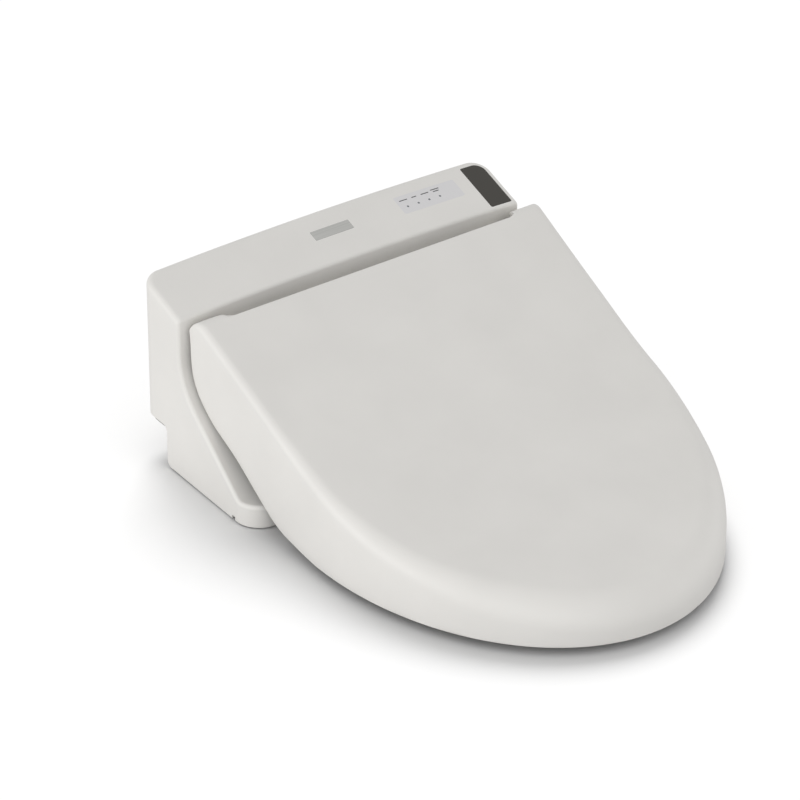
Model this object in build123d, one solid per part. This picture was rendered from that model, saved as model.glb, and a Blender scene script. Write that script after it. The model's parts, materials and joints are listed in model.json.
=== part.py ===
from build123d import *
import os
from math import atan, cos, degrees, hypot, pi, radians, sin

# Electric bidet seat: a rear unit that clips to a plate on the bowl, a heated seat ring and a lid.
# Millimetres. +Z is up, the user sits facing -Y, and z = 0 is the plane of the bowl's rim.
# The origin lies midway between the two bowl bolts.

# Rear unit, outside. It stands further to the left of the bolts than to the right.
UNIT_HALF = 187.5
UNIT_X = -10.5
UNIT_LEFT = UNIT_X - UNIT_HALF
UNIT_RIGHT = UNIT_X + UNIT_HALF
REAR_Y = 60.0
WALL = 3.0
REAR_CORNER_R = 18.0
NOSE_Y = -118.0
NOSE_R = 25.0
COVER_BOTTOM_Z = 1.0
STEP_Y = 20.0
STEP_Z = 42.0
STEP_R = 6.0
FACE_Y = -3.2
TOP_FRONT_Z = 164.0
TOP_SLOPE = 0.317
TOP_CROWN = 4.1
TOP_EDGE_R = 5.5
BROW_R = 3.5
RAMP_Y = -45.0
RAMP_Z = 64.0
RAMP_SLOPE = 0.81
RAMP_R = 65.0
LEDGE_Z = 23.0
LEDGE_R = 12.0
NOTCH_SPAN = (-91.0, -86.0)
NOTCH_DEEP = 8.0
NOTCH_TOP = 4.5
RAMP_TILT = degrees(atan(RAMP_SLOPE))

# Pieces let into the top face
INLAY = 1.2
LIGHT_XS = [74.5, 86.5, 98.5, 110.5]
LIGHT_Y = 29.0
LIGHT_R = 1.1

# Hinge line that the seat and the lid share
HINGE_Y = -22.0
HINGE_Z = 151.0
PIN_R = 3.5
PIN_BORE_R = 3.6
HUB_R = 8.2
DAMPER_R = 6.0
HUB_FROM_X = 138.0
HUB_TO_X = 163.0
SHELF_TO_X = 151.0
PIN_TO_X = 182.0
SHELF_OUTLINE = [(-2.2, 139), (-2.2, 146), (-28, 146), (-28, 143)]
GUSSET_OUTLINE = [(-2.2, 122), (-2.2, 146), (-28, 146), (-28, 143)]
GUSSET_FROM_X = 130.0

# Lid
LID_WALL = 3.0
LID_SLOPE = 0.435
LID_FRONT_SLOPE = 0.14
LID_FRONT_Y = -400.0
LID_FRONT_Z = 54.0
LID_KNEE_R = 700.0
LID_TIP_Y = -451.5
LID_BELLY_Y = -200.0
LID_BELLY_HALF = 186.0
LID_HINGE_HALF = 188.0
LID_ROUNDNESS = 2.0
LID_SKIRT_Z = 8.0
LID_EDGE_R = 7.0
LID_REAR_Y = -24.6
EAR_FROM_X = 157.0
EAR_R = 15.07
EAR_START_ANGLE = -14.0
EAR_END_ANGLE = 12.0
LID_HUB_R = 11.0
SKIRT_FRONT_Y = -205.0
SKIRT_POINTS = [(-170, 11), (-135, 19.5), (-78.5, 54.5), (-38.5, 76.5), (-14, 105)]
LID_BUFFER_X = 72.0
LID_BUFFER_Y = -391.0

# Seat
SEAT_INSET = 9.5
SEAT_SKIRT_Z = 8.0
SEAT_REAR_Y = -84.0
SEAT_WALL = 2.6
SEAT_FLOOR = 3.4
SEAT_EDGE_R = 7.0
HOLE_HALF = 104.0
HOLE_MID_Y = -270.0
HOLE_HALF_LENGTH = 140.0
SEAT_ARM_FROM_X = 163.6
SEAT_ARM_TO_X = 173.2
SEAT_ARM = [(-31, 151), (-23.5, 142), (-25.5, 121), (-45, 96), (-90, 86), (-104, 88), (-62, 110), (-44, 124)]
SEAT_ARM_RADII = [0, 0, 8, 12, 0, 0, 10, 10]
SEAT_FRONT_Y = -465.0
SEAT_FRONT_Z = 37.0
SEAT_DISH = (-250.0, 44.0)
SEAT_RISE = (-150.0, 68.0)
SEAT_REAR_TOP_Z = 104.0
SEAT_REAR_BOTTOM_Z = 84.0
SEAT_UNDER = [(-135.0, 44.0), (-172.0, SEAT_SKIRT_Z)]
FOIL_GAP = 3.0
FOIL_THICK = 0.5

# Base plate and its slots for the bowl bolts
BOLT_SPACING = 140.0
SLOT_R = 4.5
SLOT_LENGTH = 30.0
PLATE_HALF = 92.0
PLATE_CORE_HALF = 80.0
PLATE_FRONT_Y = -36.0
PLATE_REAR_Y = 28.0
PLATE_TOP_Z = 8.0
FLANGE_Z = 4.5
PLATE_CORNER_R = 2.0
CATCH_X = 78.0
CATCH_Z = 5.0

# Lower case
CASE_GAP = 0.4
CASE_FLOOR_Z = 1.5
CASE_THICK = 3.0
CASE_REAR_Z = 37.0
BAY_HALF = 95.0
BAY_FRONT_Y = -44.0
BAY_Z = 9.5
FLOOR_TOP = CASE_FLOOR_Z + CASE_THICK
REAR_FLOOR_TOP = CASE_REAR_Z + CASE_THICK
FEET = [(-150, -60), (-150, 2), (150, -75), (150, 2)]
FOOT_R = 9.0
FOOT_PLUG_R = 3.0
GLAND_X = 139.5
GLAND_Y = 40.0
GLAND_R = 8.0
GLAND_FLANGE_R = 11.0
CORD_R = 3.6

# Case screws
FRONT_SCREWS = [(-140, -104), (-50, -104), (50, -104), (140, -104)]
REAR_SCREWS = [(-182.5, 48), (161.5, 48)]
SCREW_SPOTS = FRONT_SCREWS + REAR_SCREWS
SCREW_R = 1.75
SCREW_LENGTH = 14.0
SCREW_HEAD_R = 3.6
SCREW_HEAD = 1.8
BOSS_R = 4.5
REAR_BOSS_HALF = 6.0
REAR_BOSS_TOP = 62.0
FRONT_HOLE_TOP = 19.0
REAR_HOLE_TOP = 55.0
CROSS_HALF = 2.0
CROSS_WIDE = 0.8
CROSS_DEEP = 1.0

# Wash wand, which slides down and forward
WAND_Y = -70.0
WAND_Z = 40.0
WAND_TILT = 14.0
WAND_R = 7.0
WAND_LENGTH = 124.0
WAND_TIP_LENGTH = 26.0
GEAR_MODULE = 1.5
GEAR_TEETH = 11
GEAR_AT = 30.0
RACK_PITCH_Z = -8.4
GEAR_R = GEAR_MODULE * GEAR_TEETH / 2
GEAR_Z = RACK_PITCH_Z - GEAR_R
PITCH = pi * GEAR_MODULE
TOOTH_OUT = 1.1
TOOTH_IN = 1.4
TOOTH_ROOT = 2.2
TOOTH_TIP = 1.0
GEAR_HALF = 4.0
RACK_HALF = 3.0
RACK_FROM = WAND_TIP_LENGTH + 1.5
HOOD_R = 11.0
HOOD_SPAN = (-4.0, 22.0)
CHANNEL_HALF = 12.0
CHANNEL_Z = 16.5
CHANNEL_REAR_Y = -88.0
WAND_BORE_R = 4.5
WAND_NOSE_R = 4.0
SPRAY_R = 0.8
SPRAY_HOLES = [(0, 9), (-2, 13), (2, 13), (0, 17)]
SHAFT_R = 2.0
SHAFT_TO_X = 20.0
MOTOR_R = 11.0
MOTOR_SPAN = (13.0, 33.0)
GUIDE_HALF = 11.0
RAIL_HALF = 5.0
RING_FROM = (24.0, 60.0)
RING_LONG = 8.0
RING_LOW = -5.0
GUIDE_LEGS = [(-46, -40, 44), (-11, -5, 54)]

# Dryer and deodoriser
DRYER_Y = 28.0
DRYER_Z = 86.0
DRYER_R = 24.0
DRYER_FROM_X = 54.0
DRYER_TO_X = 90.0
DRYER_ROTOR_R = 19.0
DUCT_TOP = [(6.0, 66.0), (24.0, 62.4)]
DUCT_UNDER = [(-20.0, 26.0), (-87.0, 24.2)]
DUCT_OVER = [(-66.5, 41.5), (-24.0, 46.0)]
DUCT_ROOM = [(8, 90), (22, 90), (21.5, 62.4), (-21, 28), (-95, 26.2),
             (-80, 44), (-64, 39.5), (-23, 44), (8, 64)]
DUCT_BEND_R = 8.0
DRYER_INTAKE_R = 13.0
FAN_WALL = 2.0
FAN_STUB_R = 3.0
DISC_THICK = 1.5
BLADE_DEEP = 3.0
HEATER_FRAME_AT = (-44.0, 34.5)
HEATER_FRAME_HALF = (5.0, 6.0)
WIRE_R = 0.6
FLAP_AXIS = -1.2
FLAP_PIN_R = 0.8
FLAP_PIN_LENGTH = 1.8
FLAP_MID_X = 72.0
FLAP_HALF = 16.7
FLAP_LENGTH = 21.0
FLAP_TOP_Y = -70.0
DEO_Y = -42.0
DEO_Z = 27.0
DEO_R = 17.0
DEO_FROM_X = 101.0
DEO_TO_X = 138.0
DEO_ROTOR_R = 12.5
DEO_INTAKE_R = 9.0
FILTER_FROM_X = 142.0
SLAT_XS = [148, 154, 160, 166]
FILTER_Y0 = -60.0
FILTER_Y1 = -24.0
FILTER_Z0 = 10.0
FILTER_Z1 = 34.0

# Release button and latch on the right side
BUTTON_Y = -4.0
BUTTON_Z = 12.0
BUTTON_HALF_Y = 7.0
BUTTON_HALF_Z = 6.0
BUTTON_CORNER_R = 2.0
STEM_R = 2.5
STEM_FROM_X = 124.9
STEM_TO_X = 149.5
CAP_X = 171.0
GUIDE_X = 145.5
SPRING_R = 4.2
LATCH_X = 117.5
LATCH_Z = 30.0
LATCH_PIN_R = 2.0
LATCH_PIN_HALF = 8.0
LATCH_HALF = 3.0
HOOK_SLOT = (76.0, 94.0)
LATCH_OUTLINE = [(-29.5, 0), (-32.5, -5), (-32.5, -24.2), (-27.5, -24.2), (-26.5, -8),
                 (-5, -6), (-1, -23), (7, -23), (6, 0), (2, 5)]

# Water
INLET_X = -148.0
INLET_Y = 38.0
INLET_R = 10.48
NECK_R = 9.0
INLET_TIP_Z = 12.0
THREAD_TOP_Z = 36.0
VALVE_Z = 43.0
VALVE_TOP_Z = 64.0
VALVE_HALF = 12.0
INLET_FLANGE_R = 14.0
INLET_BORE_R = 6.0
COIL_R = 11.0
COIL_TOP_Z = 92.0
TERMINAL_ZS = (74.0, 82.0)
PIPE_Z = 56.0
PIPE_R = 5.0
PIPE_STUB = 4.0
BORE_PART = 0.62
TANK = (-122.0, -62.0, 4.0, 52.0, 44.0, 146.0)
TANK_WALL = 3.0
TANK_CORNER_R = 8.0
HEATER_Y = 28.0
HEATER_FLANGE_R = 16.0
HEATER_NECK_R = 8.8
HEATER_ROD_R = 2.4
OUTLET_Y = 30.0
OUTLET_Z = 58.0
OUTLET_R = 4.0
OUTLET_STUB = 6.0
SPRAY_BODY = (-44.0, -20.0, 20.0, 42.0, 46.0, 70.0)
SPOUT_R = 3.5
SPOUT_LENGTH = 7.0

# Electronics
BOARD_THICK = 1.6
CONTROL_Z = 136.0
POWER_Z = 104.0
CONTROL_BOARD = (52, 168, 8, 50, CONTROL_Z)
POWER_BOARD = (-56, 48, 6, 52, POWER_Z)
POST_R = 3.0
POSTS = [(98, 46, CONTROL_Z), (126, 46, CONTROL_Z), (-52, 48, POWER_Z), (44, 48, POWER_Z)]
CONTROL_CHIPS = [(70, 24, 44, 8, 9), (146, 10, 18, 30, 6), (94, 36, 16, 10, 2)]
POWER_CHIPS = [(-50, 12, 32, 28, 22), (-8, 14, 12, 12, 24), (12, 12, 30, 6, 18)]

# Clearance round a moving piece, and round a pin that turns in its hole
PLAY = 0.4
RUNNING = 0.1

# Reaches past the whole part
THROUGH = 400.0
WIDE = 220.0


def block(x0, x1, y0, y1, z0, z1):
    """A box between two corners."""
    return Pos((x0 + x1) / 2, (y0 + y1) / 2, (z0 + z1) / 2) * Box(x1 - x0, y1 - y0, z1 - z0)


def rod(radius, start, end):
    """A round bar from one point to another."""
    line = Vector(*end) - Vector(*start)
    return Part() + Solid.make_cylinder(radius, line.length, Plane(origin=start, z_dir=line))


def side_prism(outline, x0, x1):
    """A closed outline in (y, z), run across from x0 to x1."""
    return Pos(x0, 0, 0) * extrude(Plane.YZ * make_face(outline), amount=x1 - x0)


def corners(points, radii):
    """A closed outline through corner points, each with its own radius."""
    return FilletPolyline(*points, radius=radii, close=True)


def plan_prism(outline, z0, z1):
    """A closed outline in (x, y), run up from z0 to z1."""
    return Pos(0, 0, z0) * extrude(make_face(outline), amount=z1 - z0)


def both_sides(part):
    """A piece and its mirror image across the middle plane."""
    return part + mirror(part, about=Plane.YZ)


def path_tube(points, radius, bend):
    """A round tube along straight runs joined by arcs."""
    path = FilletPolyline(*points, radius=bend)
    section = Plane(origin=path @ 0, z_dir=path % 0) * Circle(radius)
    return sweep(section, path=path)


def save(name, part):
    """Write one node."""
    export_step(part, f"parts/{name}.step")


# Rear unit

def ramp_z(y, inset=0.0):
    """Height of the straight ramp at the front of the unit, or of a surface under it."""
    return RAMP_Z + RAMP_SLOPE * (y - RAMP_Y) - inset * hypot(1, RAMP_SLOPE)


def ramp_y(z, inset=0.0):
    """Where the ramp, or a surface under it, reaches a height."""
    return RAMP_Y + (z + inset * hypot(1, RAMP_SLOPE) - RAMP_Z) / RAMP_SLOPE


def unit_plan(inset):
    """The unit seen from above."""
    left, right = UNIT_LEFT + inset, UNIT_RIGHT - inset
    rear = REAR_Y - inset
    nose = NOSE_Y + inset
    points = [(left, nose), (right, nose), (right, rear), (left, rear)]
    front_r = NOSE_R - inset
    rear_r = REAR_CORNER_R - inset
    return corners(points, [front_r, front_r, rear_r, rear_r])


def crown(inset):
    """Everything under the top face, which slopes forward and is crowned across."""
    ends = TOP_FRONT_Z - inset * hypot(1, TOP_SLOPE)
    middle = ends + TOP_CROWN
    crown_r = (UNIT_HALF**2 + TOP_CROWN**2) / (2 * TOP_CROWN)
    reach = UNIT_HALF + NOSE_R
    low = middle - crown_r + (crown_r**2 - reach**2) ** 0.5
    arc = ThreePointArc((-reach, low), (0, middle), (reach, low))
    sides = Polyline((reach, low), (reach, -THROUGH), (-reach, -THROUGH), (-reach, low))
    face = Pos(UNIT_X, FACE_Y, 0) * (Plane.XZ * make_face(arc + sides))
    return extrude(face, amount=THROUGH / 2, dir=(0, 1, TOP_SLOPE), both=True)


def unit_front(inset):
    """The front of the unit from its top edge to its nose, as outline corners with radii."""
    face = FACE_Y + inset
    ledge = LEDGE_Z - inset
    toe = NOSE_Y - NOSE_R
    points = [(face, ramp_z(face, inset)), (ramp_y(ledge, inset), ledge), (toe, ledge)]
    return points, [RAMP_R + inset, LEDGE_R + inset, 0]


def unit_solid():
    """The unit's outer shape."""
    front, front_radii = unit_front(0)
    high = TOP_FRONT_Z + THROUGH / 4
    toe = NOSE_Y - NOSE_R
    points = [(toe, COVER_BOTTOM_Z), (STEP_Y, COVER_BOTTOM_Z), (STEP_Y, STEP_Z), (REAR_Y, STEP_Z)]
    points += [(REAR_Y, high), (FACE_Y, high)] + front
    radii = [0, STEP_R, STEP_R, STEP_R, 0, 0] + front_radii
    solid = side_prism(corners(points, radii), -WIDE, WIDE)
    solid = solid & plan_prism(unit_plan(0), 0, THROUGH)
    solid = solid & crown(0)
    rim = solid.faces().sort_by(Axis.Z)[-1].edges()
    solid = fillet([edge for edge in rim if edge.center().Y > 0], TOP_EDGE_R)
    brow = [edge for edge in solid.edges().filter_by(GeomType.CIRCLE) if edge.length > UNIT_HALF]
    return fillet([edge for edge in brow if edge.center().Z > TOP_FRONT_Z], BROW_R)


def unit_space(inset):
    """The room inside the unit, open below."""
    front, front_radii = unit_front(inset)
    high = TOP_FRONT_Z + THROUGH / 4
    toe = NOSE_Y - NOSE_R
    points = [(toe, -WALL), (REAR_Y, -WALL), (REAR_Y, high), (FACE_Y + inset, high)] + front
    radii = [0, 0, 0, 0] + front_radii
    space = side_prism(corners(points, radii), -WIDE, WIDE)
    return space & plan_prism(unit_plan(inset), -WALL, THROUGH) & crown(inset)


def on_ramp(part):
    """Place a piece drawn with z = 0 as the ramp's face, -Y down the ramp, at the flap's top."""
    return Pos(FLAP_MID_X, FLAP_TOP_Y, ramp_z(FLAP_TOP_Y)) * Rot(RAMP_TILT, 0, 0) * part


def on_wand(part):
    """Place a piece drawn with the wand's tip at the origin and its tail along +Y."""
    return Pos(0, WAND_Y, WAND_Z) * Rot(WAND_TILT, 0, 0) * part


def wand_bar(radius, y0, y1):
    """A round bar along the wand's axis, in the wand's own frame."""
    return rod(radius, (0, y0, 0), (0, y1, 0))


def inlay(outline):
    """A thin piece let into the top face, flush with it."""
    return plan_prism(outline, 0, THROUGH) & (crown(0) - crown(INLAY))


def rectangle(x0, x1, y0, y1, radii):
    """A rounded rectangle: radii run from front left round to rear left."""
    return corners([(x0, y0), (x1, y0), (x1, y1), (x0, y1)], radii)


sensor_window = inlay(rectangle(148.2, 171.2, -0.4, 51, [1.5, 1.5, 10, 1.5]))
indicator_lights = Part() + [inlay(Pos(x, LIGHT_Y) * Circle(LIGHT_R).edge()) for x in LIGHT_XS]
indicator_panel = inlay(rectangle(66.5, 134, 21.5, 42.5, [2, 2, 2, 2])) - indicator_lights
badge_plate = inlay(rectangle(-29.5, 12.5, 25.5, 36.5, [1, 1, 1, 1]))


def hinge_shelf():
    """The shelf under the lid's rear edge, with a hub and a gusset at each end."""
    shelf = side_prism(corners(SHELF_OUTLINE, 0), -SHELF_TO_X, SHELF_TO_X)
    shelf += both_sides(side_prism(corners(GUSSET_OUTLINE, 0), GUSSET_FROM_X, SHELF_TO_X))
    hub = rod(HUB_R, (HUB_FROM_X, HINGE_Y, HINGE_Z), (HUB_TO_X, HINGE_Y, HINGE_Z))
    bore = rod(DAMPER_R + 0.05, (HUB_FROM_X + 2, HINGE_Y, HINGE_Z), (HUB_TO_X + 1, HINGE_Y, HINGE_Z))
    return shelf + both_sides(hub) - both_sides(bore)


def screw(x, y, z):
    """A pan-head case screw, driven upwards, with a cross recess."""
    top = z + SCREW_HEAD
    head = rod(SCREW_HEAD_R, (x, y, z), (x, y, top))
    bar = block(-CROSS_HALF, CROSS_HALF, -CROSS_WIDE / 2, CROSS_WIDE / 2, 0, CROSS_DEEP)
    cross = Pos(x, y, z) * (bar + Rot(0, 0, 90) * bar)
    return head + rod(SCREW_R, (x, y, top), (x, y, z + SCREW_LENGTH)) - cross


def head_seat(y):
    """The height where a screw's head bears on the lower case."""
    return (CASE_REAR_Z if y > 0 else CASE_FLOOR_Z) + SCREW_HEAD


def cover_bosses():
    """Screw bosses inside the cover."""
    half = REAR_BOSS_HALF
    parts = [rod(BOSS_R, (x, y, FLOOR_TOP), (x, y, LEDGE_Z - 1)) for x, y in FRONT_SCREWS]
    for x, y in REAR_SCREWS:
        parts.append(block(x - half, x + half, y - half, REAR_Y - 1, REAR_FLOOR_TOP, REAR_BOSS_TOP))
    return parts


def screw_holes(radius):
    """Holes for the case screws."""
    front = [rod(radius, (x, y, 0), (x, y, FRONT_HOLE_TOP)) for x, y in FRONT_SCREWS]
    return front + [rod(radius, (x, y, 0), (x, y, REAR_HOLE_TOP)) for x, y in REAR_SCREWS]


def wand_port():
    """The way through the cover for the wand and its rack."""
    slot_half = RACK_HALF + 1
    slot_low = RACK_PITCH_Z - TOOTH_OUT - 1.1
    reach = GEAR_AT + 10
    slot = block(-slot_half, slot_half, -reach, reach, slot_low, 0)
    return on_wand(wand_bar(WAND_R + 0.8, -reach, reach) + slot)


def wand_channel(wall):
    """The channel that the wand slides out through in the ledge, grown by a wall's thickness."""
    half = CHANNEL_HALF + wall
    return block(-half, half, NOSE_Y - 1, CHANNEL_REAR_Y + wall, CHANNEL_Z - wall, RAMP_Z)


def flap_port():
    """The dryer's outlet in the ramp, with sockets for the flap's pins."""
    half = FLAP_HALF + 0.5
    port = block(-half, half, -FLAP_LENGTH - 1.2, 0.8, -2.5 * WALL, WALL)
    sockets = FLAP_HALF + FLAP_PIN_LENGTH + PLAY
    pins = rod(FLAP_PIN_R + RUNNING, (-sockets, FLAP_AXIS, FLAP_AXIS), (sockets, FLAP_AXIS, FLAP_AXIS))
    return on_ramp(port + pins)


def side_openings():
    """The openings in the right side for the filter and the release button."""
    inside = UNIT_RIGHT - 2 * WALL
    outside = UNIT_RIGHT + 1
    y0, y1 = BUTTON_Y - BUTTON_HALF_Y - PLAY, BUTTON_Y + BUTTON_HALF_Y + PLAY
    z0, z1 = BUTTON_Z - BUTTON_HALF_Z - PLAY, BUTTON_Z + BUTTON_HALF_Z + PLAY
    filter_door = block(inside, outside, FILTER_Y0, FILTER_Y1, FILTER_Z0, FILTER_Z1)
    return [filter_door, block(inside, outside, y0, y1, z0, z1)]


def top_cover():
    """The one-piece cover: top, sides, rear, face and ramp."""
    cover = unit_solid() - unit_space(WALL)
    cover += hinge_shelf()
    cover += [boss & unit_space(WALL - 0.5) for boss in cover_bosses()]
    cover += on_wand(wand_bar(HOOD_R, *HOOD_SPAN)) - unit_space(WALL)
    cover += wand_channel(WALL) & unit_solid()
    cover -= [wand_channel(0), wand_port(), flap_port()] + side_openings()
    cover -= block(UNIT_LEFT - 1, UNIT_LEFT + NOTCH_DEEP, *NOTCH_SPAN, 0, NOTCH_TOP)
    cover -= block(UNIT_RIGHT - NOTCH_DEEP, UNIT_RIGHT + 1, *NOTCH_SPAN, 0, NOTCH_TOP)
    cover -= [sensor_window, indicator_panel, indicator_lights, badge_plate]
    return cover - screw_holes(SCREW_R + 0.05)


def case_tray():
    """The lower case's floor, stepped up at the rear and raised over the base plate."""
    floor, top = CASE_FLOOR_Z, FLOOR_TOP
    step = STEP_Y - 1
    end = REAR_Y - 1
    toe = NOSE_Y - NOSE_R
    wall = CASE_THICK
    points = [(toe, floor), (step, floor), (step, CASE_REAR_Z), (end, CASE_REAR_Z), (end, REAR_FLOOR_TOP)]
    points += [(step - wall, REAR_FLOOR_TOP), (step - wall, top), (toe, top)]
    tray = side_prism(corners(points, 0), -WIDE, WIDE)
    tray = tray & plan_prism(unit_plan(WALL + CASE_GAP), -1, THROUGH)
    tray += block(-BAY_HALF - wall, BAY_HALF + wall, BAY_FRONT_Y - wall, step, floor, BAY_Z + wall)
    tray -= block(-BAY_HALF, BAY_HALF, BAY_FRONT_Y, step + 1, 0, BAY_Z)
    lip = block(PLATE_CORE_HALF + 1.5, BAY_HALF + 0.5, BAY_FRONT_Y + 10, step - 1, floor - 1, FLANGE_Z - PLAY)
    return tray + both_sides(lip)


def latch_supports():
    """The button stem's guide and the two ears that carry the latch's pin."""
    guide = block(GUIDE_X, GUIDE_X + CASE_THICK, BUTTON_Y - 8, BUTTON_Y + 8, FLOOR_TOP, BUTTON_Z + 8)
    guide -= rod(STEM_R + PLAY, (GUIDE_X - 1, BUTTON_Y, BUTTON_Z), (STEM_TO_X, BUTTON_Y, BUTTON_Z))
    inner, outer = LATCH_PIN_HALF - CASE_THICK, LATCH_PIN_HALF
    ear = block(LATCH_X - 5, LATCH_X + 5, BUTTON_Y + inner, BUTTON_Y + outer, FLOOR_TOP, LATCH_Z + 5)
    ears = ear + Pos(0, -inner - outer, 0) * ear
    return guide, ears - latch_rod(LATCH_PIN_R + 0.05, outer + 1)


def lower_case():
    """The tray under the unit with its supports and holes."""
    rear, rear_top = CASE_REAR_Z, REAR_FLOOR_TOP
    tray = case_tray()
    tray -= block(*HOOK_SLOT, BUTTON_Y - 5, BUTTON_Y + 5, BAY_Z - 1, BAY_Z + CASE_THICK + 1)
    tray += latch_supports()
    tray += [rod(POST_R, (x, y, rear), (x, y, z)) for x, y, z in POSTS]
    tray -= rod(INLET_R + 0.3, (INLET_X, INLET_Y, rear - 1), (INLET_X, INLET_Y, rear_top + 1))
    tray -= rod(GLAND_R + 0.05, (GLAND_X, GLAND_Y, rear - 1), (GLAND_X, GLAND_Y, rear_top + 1))
    tray -= screw_holes(SCREW_R + PLAY)
    for x, y in SCREW_SPOTS:
        seat = head_seat(y)
        tray -= rod(SCREW_HEAD_R + 0.3, (x, y, seat - 2 * SCREW_HEAD), (x, y, seat))
    return tray - [rod(FOOT_PLUG_R + 0.05, (x, y, 0), (x, y, FLOOR_TOP + 1)) for x, y in FEET]


def case_screws():
    """Six identical screws."""
    return Part() + [screw(x, y, head_seat(y) - SCREW_HEAD) for x, y in SCREW_SPOTS]


def rubber_foot(x, y):
    """A pad between the unit and the rim, with a plug that holds it."""
    return rod(FOOT_R, (x, y, 0), (x, y, CASE_FLOOR_Z)) + rod(FOOT_PLUG_R, (x, y, 0), (x, y, FLOOR_TOP))


def rubber_feet():
    """Four identical pads."""
    return Part() + [rubber_foot(x, y) for x, y in FEET]


def base_plate():
    """The plate that the bowl bolts hold down, with side flanges that the unit slides onto."""
    core = block(-PLATE_CORE_HALF, PLATE_CORE_HALF, PLATE_FRONT_Y, PLATE_REAR_Y, 0, PLATE_TOP_Z)
    plate = core + block(-PLATE_HALF, PLATE_HALF, PLATE_FRONT_Y, PLATE_REAR_Y, FLANGE_Z, PLATE_TOP_Z)
    plate = fillet(plate.edges().filter_by(Axis.Z), PLATE_CORNER_R)
    run = SLOT_LENGTH / 2 - SLOT_R
    over = PLATE_TOP_Z + 1
    for mid in (-BOLT_SPACING / 2, BOLT_SPACING / 2):
        plate -= block(mid - run, mid + run, -SLOT_R, SLOT_R, -1, over)
        plate -= [rod(SLOT_R, (x, 0, -1), (x, 0, over)) for x in (mid - run, mid + run)]
    catch_half = LATCH_HALF + 0.8
    return plate - block(CATCH_X, PLATE_HALF + 1, BUTTON_Y - catch_half, BUTTON_Y + catch_half, CATCH_Z, over)


def hinge_damper():
    """The right soft-close damper with the hinge pin on its output."""
    body = rod(DAMPER_R, (HUB_FROM_X + 2, HINGE_Y, HINGE_Z), (HUB_TO_X - 0.2, HINGE_Y, HINGE_Z))
    return body + rod(PIN_R, (HUB_TO_X - 1, HINGE_Y, HINGE_Z), (PIN_TO_X, HINGE_Y, HINGE_Z))


# Lid

def lid_half(y, inset=0.0):
    """Half width of the lid behind its widest place."""
    sag = LID_BELLY_HALF - LID_HINGE_HALF
    span = (y - LID_BELLY_Y) / (HINGE_Y - LID_BELLY_Y)
    return LID_BELLY_HALF - sag * span**2 - inset


def lid_plan(inset, rear_y):
    """The lid seen from above: nearly straight sides and a rounded front, as one smooth line."""
    half = LID_BELLY_HALF - inset
    reach = LID_BELLY_Y - LID_TIP_Y - inset
    power = 2 / LID_ROUNDNESS
    middle = (rear_y + LID_BELLY_Y) / 2
    right = [(lid_half(y, inset), y) for y in (rear_y, middle, LID_BELLY_Y)]
    for angle in (20, 40, 55, 70):
        turn = radians(angle)
        right.append((half * cos(turn) ** power, LID_BELLY_Y - reach * sin(turn) ** power))
    left = [(-x, y) for x, y in reversed(right)]
    side = Spline(*right, (0, LID_BELLY_Y - reach), *left)
    return side + Line(side @ 1, side @ 0)


def lid_top(inset):
    """The lid's ridge line: where it leaves the hinge barrel, its knee, and its far end."""
    radius = EAR_R - inset
    lean = hypot(1, LID_SLOPE)
    start = (HINGE_Y - radius * LID_SLOPE / lean, HINGE_Z + radius / lean)
    rear_rise = HINGE_Z + radius * lean - LID_SLOPE * HINGE_Y
    front_rise = LID_FRONT_Z - inset * hypot(1, LID_FRONT_SLOPE) - LID_FRONT_SLOPE * LID_FRONT_Y
    knee_y = (front_rise - rear_rise) / (LID_SLOPE - LID_FRONT_SLOPE)
    knee = (knee_y, rear_rise + LID_SLOPE * knee_y)
    toe_y = LID_TIP_Y - NOSE_R
    return start, knee, (toe_y, front_rise + LID_FRONT_SLOPE * toe_y)


def around_hinge(radius, angle):
    """A point on a circle round the hinge line, in (y, z)."""
    return (HINGE_Y + radius * cos(radians(angle)), HINGE_Z + radius * sin(radians(angle)))


def walls_and_tops(solid):
    """The edges where a rising face meets a face that looks up."""
    tops = [face for face in solid.faces() if face.normal_at().Z > 0.5]
    walls = [face for face in solid.faces() if abs(face.normal_at().Z) < 0.1]
    wall_edges = [edge for face in walls for edge in face.edges()]
    return [edge for face in tops for edge in face.edges() if edge in wall_edges]


def lid_solid():
    """The lid's outer shape, before it is hollowed."""
    start, knee, toe = lid_top(0)
    low = -WALL
    plan = plan_prism(lid_plan(0, STEP_Y), low, THROUGH)
    points = [start, knee, toe, (toe[0], low), (start[0], low)]
    main = side_prism(corners(points, [0, LID_KNEE_R, 0, 0, 0]), -WIDE, WIDE) & plan
    creases = [edge for edge in walls_and_tops(main) if edge.center().Y < start[0] - 1]
    main = fillet(creases, LID_EDGE_R)
    ear_start = around_hinge(EAR_R, EAR_START_ANGLE)
    barrel = ThreePointArc(ear_start, around_hinge(EAR_R, 45), start)
    under = Polyline(start, (start[0], low), (ear_start[0], low), ear_start)
    ears = side_prism(barrel + under, -WIDE, WIDE) & plan
    skirt_front = (SKIRT_FRONT_Y, LID_SKIRT_Z)
    skirt = Spline(skirt_front, *SKIRT_POINTS, ear_start, tangents=[(1, 0), (0.1, 1)])
    below = Polyline(ear_start, (STEP_Y, ear_start[1]), (STEP_Y, 2 * low), (toe[0], 2 * low),
                     (toe[0], LID_SKIRT_Z), skirt_front)
    return main + ears - side_prism(skirt + below, -WIDE, WIDE)


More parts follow.
